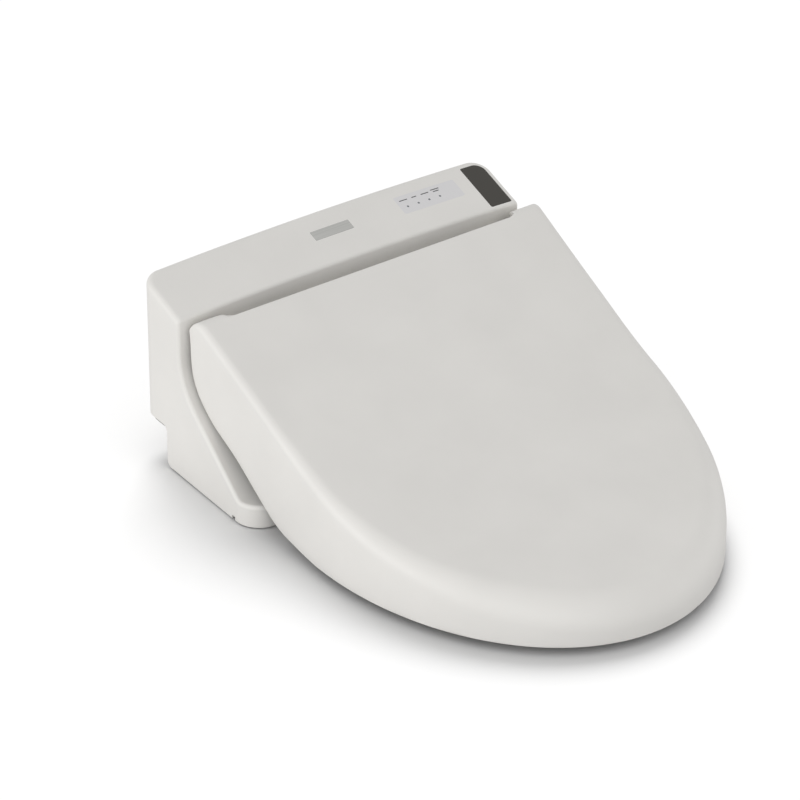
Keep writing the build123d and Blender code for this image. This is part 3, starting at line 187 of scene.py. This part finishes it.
def curve_through(points, count):
    """Points on a smooth curve through the given ones, evenly spaced by length."""
    ends = [points[0]] + list(points) + [points[-1]]
    fine = []
    for a, b, c, d in zip(ends, ends[1:], ends[2:], ends[3:]):
        for n in range(CURVE_STEPS):
            t = n / CURVE_STEPS
            fine.append(tuple(spline(p, q, r, s, t) for p, q, r, s in zip(a, b, c, d)))
    fine.append(tuple(points[-1]))
    lengths = [0.0]
    for p, q in zip(fine, fine[1:]):
        lengths.append(lengths[-1] + hypot(q[0] - p[0], q[1] - p[1]))
    found = []
    k = 0
    for n in range(count):
        want = lengths[-1] * n / (count - 1)
        while k < len(fine) - 2 and lengths[k + 1] < want:
            k += 1
        t = (want - lengths[k]) / max(lengths[k + 1] - lengths[k], 1e-9)
        found.append(tuple(mix(p, q, min(t, 1.0)) for p, q in zip(fine[k], fine[k + 1])))
    return found


def new_piece(name, vertices, faces, body, material):
    """A smooth-shaded mesh piece that rides on a body. Vertices are in millimetres."""
    mesh = bpy.data.meshes.new(name)
    mesh.from_pydata([tuple(c * MM for c in v) for v in vertices], [], faces)
    mesh.validate()
    bm = bmesh.new()
    bm.from_mesh(mesh)
    bmesh.ops.remove_doubles(bm, verts=bm.verts, dist=SAME_PLACE_M)
    bmesh.ops.recalc_face_normals(bm, faces=bm.faces)
    bm.to_mesh(mesh)
    bm.free()
    for polygon in mesh.polygons:
        polygon.use_smooth = True
    piece = bpy.data.objects.new(name, mesh)
    bpy.context.scene.collection.objects.link(piece)
    mesh.materials.append(material)
    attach(piece, body)
    return piece


def apply_modifiers(piece):
    """Turn a piece's modifiers into its mesh."""
    graph = bpy.context.evaluated_depsgraph_get()
    made = bpy.data.meshes.new_from_object(piece.evaluated_get(graph))
    piece.modifiers.clear()
    piece.data = made


# Materials

def nodes_of(name):
    """A new material with its node tree and its surface shader."""
    material = bpy.data.materials.new(name)
    material.use_nodes = True
    tree = material.node_tree
    return material, tree, tree.nodes["Principled BSDF"]


def noise_of(tree, scale, detail, roughness=0.5):
    """A noise texture laid out in the object's own space."""
    place = tree.nodes.new("ShaderNodeTexCoord")
    noise = tree.nodes.new("ShaderNodeTexNoise")
    noise.inputs["Scale"].default_value = scale
    noise.inputs["Detail"].default_value = detail
    noise.inputs["Roughness"].default_value = roughness
    tree.links.new(place.outputs["Object"], noise.inputs["Vector"])
    return noise


def ramp_of(tree, value, low, high):
    """A colour ramp between two colours, driven by a value."""
    ramp = tree.nodes.new("ShaderNodeValToRGB")
    ramp.color_ramp.elements[0].position = 0.3
    ramp.color_ramp.elements[0].color = low
    ramp.color_ramp.elements[1].position = 0.7
    ramp.color_ramp.elements[1].color = high
    tree.links.new(value, ramp.inputs["Fac"])
    return ramp


def range_of(tree, value, low, high):
    """A number between low and high, driven by a value from 0 to 1."""
    spread = tree.nodes.new("ShaderNodeMapRange")
    spread.inputs["To Min"].default_value = low
    spread.inputs["To Max"].default_value = high
    tree.links.new(value, spread.inputs["Value"])
    return spread


def bump_of(tree, height, distance_m, strength):
    """A bump from a height value."""
    bump = tree.nodes.new("ShaderNodeBump")
    bump.inputs["Distance"].default_value = distance_m
    bump.inputs["Strength"].default_value = strength
    tree.links.new(height, bump.inputs["Height"])
    return bump


def tinted(colour, factor):
    """A colour made a little lighter or darker."""
    return tuple(c * factor for c in colour[:3]) + (1.0,)


def moulded_plastic(
        name, colour, roughness, grain=2600.0, grain_depth=0.00002, specular=0.4, mottle=0.02):
    """Moulded plastic: a fine spark-eroded grain, faint flow marks in its colour and an uneven sheen."""
    material, tree, shader = nodes_of(name)
    flow = noise_of(tree, FLOW_SCALE, 3.0)
    fine = noise_of(tree, grain, 2.0, 0.6)
    cloud = noise_of(tree, CLOUD_SCALE, 4.0)
    ramp = ramp_of(tree, flow.outputs["Fac"], tinted(colour, 1 - mottle), tinted(colour, 1 + mottle))
    sheen = range_of(tree, cloud.outputs["Fac"], roughness - 0.04, roughness + 0.04)
    bump = bump_of(tree, fine.outputs["Fac"], grain_depth, 0.35)
    tree.links.new(ramp.outputs["Color"], shader.inputs["Base Color"])
    tree.links.new(sheen.outputs["Result"], shader.inputs["Roughness"])
    tree.links.new(bump.outputs["Normal"], shader.inputs["Normal"])
    shader.inputs["Specular IOR Level"].default_value = specular
    return material


def rubber(name, colour):
    """Soft moulded rubber with a dusty, uneven surface."""
    return moulded_plastic(
        name, colour, 0.78, grain=1500.0, grain_depth=0.00006, specular=0.25, mottle=0.06)


def brushed_metal(name, colour, roughness, stretch):
    """Metal with fine scratches that run along the axis of the smallest stretch number."""
    material, tree, shader = nodes_of(name)
    place = tree.nodes.new("ShaderNodeTexCoord")
    mapping = tree.nodes.new("ShaderNodeMapping")
    mapping.inputs["Scale"].default_value = stretch
    noise = tree.nodes.new("ShaderNodeTexNoise")
    noise.inputs["Scale"].default_value = SCRATCH_SCALE
    noise.inputs["Detail"].default_value = 4.0
    tree.links.new(place.outputs["Object"], mapping.inputs["Vector"])
    tree.links.new(mapping.outputs["Vector"], noise.inputs["Vector"])
    ramp = ramp_of(tree, noise.outputs["Fac"], tinted(colour, 0.88), tinted(colour, 1.08))
    sheen = range_of(tree, noise.outputs["Fac"], roughness - 0.08, roughness + 0.10)
    bump = bump_of(tree, noise.outputs["Fac"], 0.00002, 0.3)
    tree.links.new(ramp.outputs["Color"], shader.inputs["Base Color"])
    tree.links.new(sheen.outputs["Result"], shader.inputs["Roughness"])
    tree.links.new(bump.outputs["Normal"], shader.inputs["Normal"])
    shader.inputs["Metallic"].default_value = 1.0
    return material


def circuit_board(name):
    """Lacquered board: green with a faint net of lighter copper runs."""
    material, tree, shader = nodes_of(name)
    place = tree.nodes.new("ShaderNodeTexCoord")
    cells = tree.nodes.new("ShaderNodeTexBrick")
    cells.inputs["Scale"].default_value = BOARD_SCALE
    cells.inputs["Mortar Size"].default_value = 0.03
    cells.inputs["Color1"].default_value = srgb(38, 92, 60)
    cells.inputs["Color2"].default_value = srgb(34, 84, 56)
    cells.inputs["Mortar"].default_value = srgb(92, 128, 84)
    tree.links.new(place.outputs["Object"], cells.inputs["Vector"])
    tree.links.new(cells.outputs["Color"], shader.inputs["Base Color"])
    bump = bump_of(tree, cells.outputs["Fac"], 0.00003, 0.4)
    tree.links.new(bump.outputs["Normal"], shader.inputs["Normal"])
    shader.inputs["Roughness"].default_value = 0.35
    return material


WHITE = srgb(236, 234, 230)
MATERIALS = {
    "white_plastic": moulded_plastic("white_plastic", WHITE, 0.46),
    "seat_underside": moulded_plastic("seat_underside", srgb(222, 220, 216), 0.60),
    "wand_plastic": moulded_plastic("wand_plastic", srgb(228, 228, 226), 0.28, grain_depth=0.00001),
    "grey_plastic": moulded_plastic("grey_plastic", srgb(150, 149, 146), 0.62, mottle=0.04),
    "inner_plastic": moulded_plastic("inner_plastic", srgb(204, 203, 199), 0.55, mottle=0.04),
    "window_plastic": moulded_plastic(
        "window_plastic", srgb(58, 55, 49), 0.22, grain_depth=0.000004, specular=0.35),
    "panel_plastic": moulded_plastic("panel_plastic", srgb(229, 228, 229), 0.55, mottle=0.01),
    "light_plastic": moulded_plastic("light_plastic", srgb(120, 124, 128), 0.25, mottle=0.05),
    "badge_metal": brushed_metal("badge_metal", srgb(178, 178, 175), 0.42, (0.02, 1.0, 1.0)),
    "rubber": rubber("rubber", srgb(176, 175, 172)),
    "steel": brushed_metal("steel", srgb(190, 190, 188), 0.34, (0.05, 1.0, 1.0)),
    "motor_case": brushed_metal("motor_case", srgb(170, 172, 174), 0.40, (1.0, 0.05, 1.0)),
    "brass": brushed_metal("brass", srgb(206, 178, 112), 0.32, (1.0, 1.0, 0.05)),
    "board": circuit_board("board"),
    "foil": brushed_metal("foil", srgb(206, 206, 208), 0.36, (1.0, 0.08, 1.0)),
}
PRINT = moulded_plastic("print", srgb(96, 96, 98), 0.6, mottle=0.04)


def finish_cad_nodes():
    """Give every node of the frame its material."""
    slots = {part["node"]: part["material_slot"] for part in frame["record"]["subparts"]}
    for name, node in frame["nodes"].items():
        node.data.materials.clear()
        node.data.materials.append(MATERIALS[slots[name]])


# Lid

def lid_line():
    """The lid's ridge line behind its knee, its line in front of it, and the arc that joins them."""
    rise = HINGE_Z + EAR_R * hypot(1, LID_SLOPE) - LID_SLOPE * HINGE_Y
    front_rise = LID_FRONT_Z - LID_FRONT_SLOPE * LID_FRONT_Y
    knee_y = (front_rise - rise) / (LID_SLOPE - LID_FRONT_SLOPE)
    reach = LID_KNEE_R * tan((atan(LID_SLOPE) - atan(LID_FRONT_SLOPE)) / 2)
    start_y = knee_y + reach * cos(atan(LID_SLOPE))
    end_y = knee_y - reach * cos(atan(LID_FRONT_SLOPE))
    centre_y = start_y - LID_KNEE_R * sin(atan(LID_SLOPE))
    centre_z = rise + LID_SLOPE * start_y + LID_KNEE_R * cos(atan(LID_SLOPE))
    return rise, front_rise, start_y, end_y, centre_y, centre_z


def lid_top_z(y):
    """Height of the lid's top face."""
    rise, front_rise, start_y, end_y, centre_y, centre_z = lid_line()
    if y > start_y:
        return rise + LID_SLOPE * y
    if y < end_y:
        return front_rise + LID_FRONT_SLOPE * y
    return centre_z - sqrt(LID_KNEE_R**2 - (y - centre_y) ** 2)


def lid_half(y):
    """Half width of the lid behind its widest place."""
    span = (y - LID_BELLY_Y) / (HINGE_Y - LID_BELLY_Y)
    return LID_BELLY_HALF - (LID_BELLY_HALF - LID_HINGE_HALF) * span**2


def barrel(angle, radius=EAR_R):
    """A point on the hinge barrel, in (y, z)."""
    return HINGE_Y + radius * cos(radians(angle)), HINGE_Z + radius * sin(radians(angle))


BARREL_TOP = 90 + degrees(atan(LID_SLOPE))
BARREL_ROWS = 12
BARREL_ANGLES = [mix(EAR_SHELL_ANGLE, BARREL_TOP, n / BARREL_ROWS) for n in range(BARREL_ROWS + 1)]
SIDE_ROWS = 26
FRONT_ROWS = 44
FILLET_STEPS = 9
WALL_STEPS = 8


def ear_edge_radius(angle):
    """The radius of the ear's outer edge: none at the foot, tight behind and wider towards the top."""
    tight = EAR_EDGE_R * smooth((angle - EAR_SHELL_ANGLE) / (EAR_EDGE_ANGLE - EAR_SHELL_ANGLE))
    share = smooth((angle - EAR_EDGE_ANGLE) / (BARREL_TOP - EAR_EDGE_ANGLE))
    return mix(tight, CREASE_RADII[0][1], share)


def lid_stations():
    """Stations along the lid's right edge, from the ear's foot over the barrel and on to the tip.

    Each is its plan place, its plan normal inwards, the top's height there, the direction in (y, z) that
    the rounded crease drops in, and the crease's radius.
    """
    stations = []
    for angle in BARREL_ANGLES:
        y, z = barrel(angle)
        turn = radians(angle)
        stations.append(((lid_half(y), y), (-1.0, 0.0), z, (cos(turn), sin(turn)), ear_edge_radius(angle)))
    start_y = barrel(BARREL_TOP)[0]
    lean = atan(LID_SLOPE)
    for n in range(1, SIDE_ROWS + 1):
        y = mix(start_y, LID_BELLY_Y, n / SIDE_ROWS)
        upright = smooth(n / SIDE_ROWS)
        out = (-sin(lean) * (1 - upright), mix(cos(lean), 1.0, upright))
        stations.append(((lid_half(y), y), (-1.0, 0.0), lid_top_z(y), out, along(CREASE_RADII, y)))
    power = 2 / LID_ROUNDNESS
    reach = LID_BELLY_Y - LID_TIP_Y
    for n in range(1, FRONT_ROWS + 1):
        turn = radians(90) * n / FRONT_ROWS
        x = LID_BELLY_HALF * max(cos(turn), 0) ** power
        y = LID_BELLY_Y - reach * sin(turn) ** power
        slope_x = (x / LID_BELLY_HALF) ** (LID_ROUNDNESS - 1) / LID_BELLY_HALF
        slope_y = ((LID_BELLY_Y - y) / reach) ** (LID_ROUNDNESS - 1) / reach
        size = hypot(slope_x, slope_y)
        inwards = (-slope_x / size, slope_y / size)
        stations.append(((x, y), inwards, lid_top_z(y), (0.0, 1.0), along(CREASE_RADII, y)))
    return stations


def crease_point(station, share):
    """A point of the rounded crease: share 0 lies on the top face, share 1 on the wall."""
    (x, y), (nx, ny), z, (out_y, out_z), radius = station
    inset = radius * (1 - sin(share * pi / 2))
    drop = radius * (1 - cos(share * pi / 2))
    px, py = x + nx * inset, y + ny * inset
    on_front = y <= LID_BELLY_Y
    top_z = lid_top_z(py) if on_front else z
    return px, py - out_y * drop, top_z - out_z * drop


def lid_columns(half):
    """Places across the lid's top, from its left edge to its right."""
    share = [s / COLUMN_SPAN for s in COLUMN_STEPS] + [1.0]
    return [-half * s for s in reversed(share[1:])] + [half * s for s in share]


def lid_rear_angle(x):
    """Where the lid's rear edge ends on the hinge barrel."""
    step = smooth((abs(x) - EAR_STEP[0]) / (EAR_STEP[1] - EAR_STEP[0]))
    return mix(REAR_EDGE_ANGLE, EAR_SHELL_ANGLE, step)


def lid_skirt(count):
    """The skirt's lower edge on the side, from the ear's foot to where it runs level, in (y, z)."""
    foot = barrel(EAR_SHELL_ANGLE)
    return curve_through([foot] + SKIRT_POINTS, count)


def lid_mesh():
    """Vertices and faces of the lid's outer skin."""
    stations = lid_stations()
    rear = len(BARREL_ANGLES) + SIDE_ROWS
    skirt = lid_skirt(rear)
    vertices, faces = [], []
    edges = {}
    for side in (1, -1):
        for k, station in enumerate(stations):
            column = []
            for n in range(FILLET_STEPS + 1):
                x, y, z = crease_point(station, n / FILLET_STEPS)
                column.append(len(vertices))
                vertices.append((side * x, y, z))
            x, y, z = crease_point(station, 1.0)
            foot_y, foot_z = skirt[k] if k < rear else (y, LID_SKIRT_Z)
            for n in range(1, WALL_STEPS + 1):
                py = mix(y, foot_y, n / WALL_STEPS)
                px = lid_half(py) if k < rear else x
                column.append(len(vertices))
                vertices.append((side * px, py, mix(z, foot_z, n / WALL_STEPS)))
            edges[side, k] = column
        for k in range(len(stations) - 1):
            here, ahead = edges[side, k], edges[side, k + 1]
            faces += list(zip(here, here[1:], ahead[1:], ahead))
    rows = []
    for k in range(len(stations) - 1):
        half, y, _ = crease_point(stations[k], 0.0)
        row = [edges[-1, k][0]]
        for x in lid_columns(half)[1:-1]:
            py, pz = y, lid_top_z(y)
            if k < len(BARREL_ANGLES):
                share = (BARREL_TOP - BARREL_ANGLES[k]) / (BARREL_TOP - EAR_SHELL_ANGLE)
                py, pz = barrel(mix(BARREL_TOP, lid_rear_angle(x), share))
            row.append(len(vertices))
            vertices.append((x, py, pz))
        rows.append(row + [edges[1, k][0]])
    for first, second in zip(rows, rows[1:]):
        faces += list(zip(first, first[1:], second[1:], second))
    tip = len(vertices)
    vertices.append(crease_point(stations[-1], 0.0))
    for a, b in zip(rows[-1], rows[-1][1:]):
        faces.append((a, b, tip))
    return vertices, faces


def build_lid():
    """The lid as one moulded shell."""
    vertices, faces = lid_mesh()
    lid = new_piece("lid", vertices, faces, "lid", MATERIALS["white_plastic"])
    top = max(lid.data.polygons, key=lambda p: p.area)
    if top.normal.z < 0:
        lid.data.flip_normals()
    shell = lid.modifiers.new("shell", "SOLIDIFY")
    shell.thickness = LID_WALL * MM
    shell.offset = -1.0
    shell.use_even_offset = False
    soft = lid.modifiers.new("edges", "BEVEL")
    soft.width = LID_EDGE_SOFT * MM
    soft.segments = LID_EDGE_SEGMENTS
    soft.limit_method = "ANGLE"
    soft.angle_limit = radians(LID_EDGE_ANGLE)
    soft.use_clamp_overlap = True
    apply_modifiers(lid)
    for polygon in lid.data.polygons:
        polygon.use_smooth = True
    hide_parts("lid_shell")


def ring_solid(x0, x1, outer, inner, count=48):
    """Vertices and faces of a short tube round the hinge line."""
    vertices, faces = [], []
    for n in range(count):
        turn = 2 * pi * n / count
        for x, radius in ((x0, outer), (x1, outer), (x1, inner), (x0, inner)):
            vertices.append((x, HINGE_Y + radius * cos(turn), HINGE_Z + radius * sin(turn)))
    for n in range(count):
        a, b = 4 * n, 4 * ((n + 1) % count)
        for k in range(4):
            faces.append((a + k, a + (k + 1) % 4, b + (k + 1) % 4, b + k))
    return vertices, faces


def build_lid_bosses():
    """The round bosses inside the lid's ears, which turn on the hinge pins."""
    for name, side in (("lid_boss_right", 1), ("lid_boss_left", -1)):
        vertices, faces = ring_solid(side * BOSS_SPAN[0], side * BOSS_SPAN[1], BOSS_R, BOSS_BORE_R)
        boss = new_piece(name, vertices, faces, "lid", MATERIALS["white_plastic"])
        boss.data.set_sharp_from_angle(angle=radians(SHARP_ANGLE))


# Water inlet

def thread_radius(z, turn):
    """The thread's radius at a height and an angle, run out at both ends."""
    phase = (z / THREAD_PITCH - turn / (2 * pi)) % 1.0
    ends = smooth((z - INLET_TIP_Z) / INLET_CHAMFER) * smooth((INLET_THREAD_TOP - z) / INLET_CHAMFER)
    crest = INLET_R - THREAD_DEEP * abs(2 * phase - 1)
    return mix(INLET_R - THREAD_DEEP, crest, ends)


def build_water_inlet():
    """The brass spigot with its thread cut, its neck, its flange and its bore."""
    sides = THREAD_SIDES
    rows = []
    for k in range(THREAD_ROWS + 1):
        z = mix(INLET_TIP_Z, INLET_THREAD_TOP, k / THREAD_ROWS)
        rows.append([(thread_radius(z, 2 * pi * n / sides), z) for n in range(sides)])
    rows += [[point] * sides for point in INLET_COLLAR]
    vertices, faces = [], []
    for row in rows:
        for n, (radius, z) in enumerate(row):
            turn = 2 * pi * n / sides
            vertices.append((INLET_X + radius * cos(turn), INLET_Y + radius * sin(turn), z))
    for k in range(len(rows)):
        low, high = k * sides, (k + 1) % len(rows) * sides
        for n in range(sides):
            m = (n + 1) % sides
            faces.append((low + n, low + m, high + m, high + n))
    inlet = new_piece("threaded_inlet", vertices, faces, "unit", MATERIALS["brass"])
    inlet.data.set_sharp_from_angle(angle=radians(SHARP_ANGLE))
    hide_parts("water_inlet")


# Marks on the unit

def top_face_z(x, y):
    """Height of the unit's top face."""
    round_r = (UNIT_HALF**2 + TOP_CROWN**2) / (2 * TOP_CROWN)
    middle = TOP_FRONT_Z + TOP_CROWN + TOP_SLOPE * (y - FACE_Y)
    return middle - round_r + sqrt(round_r**2 - (x - UNIT_X) ** 2)


def mark_outline(x, y, length):
    """A bar with round ends, in plan."""
    radius = MARK_WIDE / 2
    reach = length / 2 - radius
    turns = [radians(180 * n / MARK_END_STEPS - 90) for n in range(MARK_END_STEPS + 1)]
    right = [(x + reach + radius * cos(t), y + radius * sin(t)) for t in turns]
    left = [(x - reach - radius * cos(t), y - radius * sin(t)) for t in turns]
    return right + left


def build_panel_marks():
    """Printed marks that stand a hair above the panel."""
    vertices, faces = [], []
    for mark in PANEL_MARKS:
        outline = mark_outline(*mark)
        count = len(outline)
        start = len(vertices)
        for lift in (-MARK_THICK, MARK_THICK):
            vertices += [(x, y, top_face_z(x, y) + lift) for x, y in outline]
        faces.append(tuple(range(start + count, start + 2 * count)))
        faces.append(tuple(reversed(range(start, start + count))))
        for n in range(count):
            m = (n + 1) % count
            faces.append((start + n, start + m, start + count + m, start + count + n))
    marks = new_piece("panel_marks", vertices, faces, "unit", PRINT)
    marks.data.set_sharp_from_angle(angle=radians(SHARP_ANGLE))


# Stage

def light_path_white(tree):
    """One for rays that should see a white surround: camera, mirror and transmitted rays."""
    path = tree.nodes.new("ShaderNodeLightPath")
    first = tree.nodes.new("ShaderNodeMath")
    first.operation = "MAXIMUM"
    second = tree.nodes.new("ShaderNodeMath")
    second.operation = "MAXIMUM"
    tree.links.new(path.outputs["Is Camera Ray"], first.inputs[0])
    tree.links.new(path.outputs["Is Glossy Ray"], first.inputs[1])
    tree.links.new(first.outputs[0], second.inputs[0])
    tree.links.new(path.outputs["Is Transmission Ray"], second.inputs[1])
    return second.outputs[0]


AMBIENT = 0.655
FLOOR_TONE = 0.9
FLOOR_BOUNCE = 0.55
FLOOR_HALF_M = 30.0
FLOOR_Z_M = -0.0004
LAMP_SIZE_M = 2.0
LAMP_AIM_M = (0.0, -0.2, 0.08)
# Each lamp: name, place in metres, power in watts
OBJECT_LAMPS = [
    ("key", (-3.0, 0.2, 0.3), 37.0),
    ("fill", (2.9, -1.0, 0.4), 7.0),
    ("front", (-1.5, -2.5, 1.1), 10.0),
]
# The floor's own light, even all over: name, where it comes from, strength
FLOOR_LIGHT = ("back", (0.9, 1.5, 2.7), 1.9)
FLOOR_LIGHT_SPREAD = 34.0


def build_surround():
    """A white surround whose light on the object is a plain even level."""
    world = bpy.data.worlds.new("surround")
    bpy.context.scene.world = world
    world.use_nodes = True
    tree = world.node_tree
    even = tree.nodes["Background"]
    even.inputs["Color"].default_value = (1.0, 1.0, 1.0, 1.0)
    even.inputs["Strength"].default_value = AMBIENT
    white = tree.nodes.new("ShaderNodeBackground")
    white.inputs["Strength"].default_value = 1.0
    white.inputs["Color"].default_value = (1.0, 1.0, 1.0, 1.0)
    choose = tree.nodes.new("ShaderNodeMixShader")
    tree.links.new(light_path_white(tree), choose.inputs["Fac"])
    tree.links.new(even.outputs[0], choose.inputs[1])
    tree.links.new(white.outputs[0], choose.inputs[2])
    tree.links.new(choose.outputs[0], tree.nodes["World Output"].inputs["Surface"])


def build_floor():
    """A pale floor that shows white to the camera and keeps the object's shadow."""
    mesh = bpy.data.meshes.new("floor")
    half = FLOOR_HALF_M
    ends = [(-half, -half), (half, -half), (half, half), (-half, half)]
    mesh.from_pydata([(x, y, FLOOR_Z_M) for x, y in ends], [], [(0, 1, 2, 3)])
    floor = bpy.data.objects.new("floor", mesh)
    bpy.context.scene.collection.objects.link(floor)
    material, tree, shader = nodes_of("floor")
    tree.nodes.remove(shader)
    plain = tree.nodes.new("ShaderNodeBsdfDiffuse")
    plain.inputs["Color"].default_value = (FLOOR_BOUNCE, FLOOR_BOUNCE, FLOOR_BOUNCE, 1.0)
    seen = tree.nodes.new("ShaderNodeBsdfDiffuse")
    seen.inputs["Color"].default_value = (FLOOR_TONE, FLOOR_TONE, FLOOR_TONE, 1.0)
    choose = tree.nodes.new("ShaderNodeMixShader")
    path = tree.nodes.new("ShaderNodeLightPath")
    tree.links.new(path.outputs["Is Camera Ray"], choose.inputs["Fac"])
    tree.links.new(plain.outputs[0], choose.inputs[1])
    tree.links.new(seen.outputs[0], choose.inputs[2])
    tree.links.new(choose.outputs[0], tree.nodes["Material Output"].inputs["Surface"])
    mesh.materials.append(material)
    return floor


def build_light(name, place, power, receivers, even=False):
    """A soft lamp that points at the middle of the object and lights what its receivers say."""
    lamp = bpy.data.lights.new(name, "SUN" if even else "AREA")
    if even:
        lamp.angle = radians(FLOOR_LIGHT_SPREAD)
    else:
        lamp.size = LAMP_SIZE_M
    lamp.energy = power
    holder = bpy.data.objects.new(name, lamp)
    bpy.context.scene.collection.objects.link(holder)
    holder.location = place
    aim = Vector(LAMP_AIM_M) - Vector(place)
    holder.rotation_euler = aim.to_track_quat("-Z", "Y").to_euler()
    holder.light_linking.receiver_collection = receivers


def floor_group(name, floor, state):
    """A group of lit things that takes the floor in or leaves it out."""
    group = bpy.data.collections.new(name)
    group.objects.link(floor)
    group.collection_objects[0].light_linking.link_state = state
    return group


def build_camera():
    """The camera at the photograph's angle."""
    camera = bpy.data.cameras.new("camera")
    camera.lens = VIEW_LENS
    camera.clip_end = VIEW_CLIP_M
    holder = bpy.data.objects.new("camera", camera)
    bpy.context.scene.collection.objects.link(holder)
    azimuth, elevation = radians(VIEW_AZIMUTH), radians(VIEW_ELEVATION)
    back = Vector((sin(azimuth) * cos(elevation), -cos(azimuth) * cos(elevation), sin(elevation)))
    holder.location = (Vector(VIEW_TARGET) + back * VIEW_DISTANCE) * MM
    holder.rotation_euler = (-back).to_track_quat("-Z", "Y").to_euler()
    bpy.context.scene.camera = holder


finish_cad_nodes()
build_lid()
build_lid_bosses()
build_water_inlet()
build_panel_marks()
build_surround()
floor = build_floor()
all_but_floor = floor_group("all_but_floor", floor, "EXCLUDE")
for lamp in OBJECT_LAMPS:
    build_light(*lamp, all_but_floor)
build_light(*FLOOR_LIGHT, floor_group("floor_only", floor, "INCLUDE"), even=True)
build_camera()
bpy.context.scene.view_settings.view_transform = "Standard"
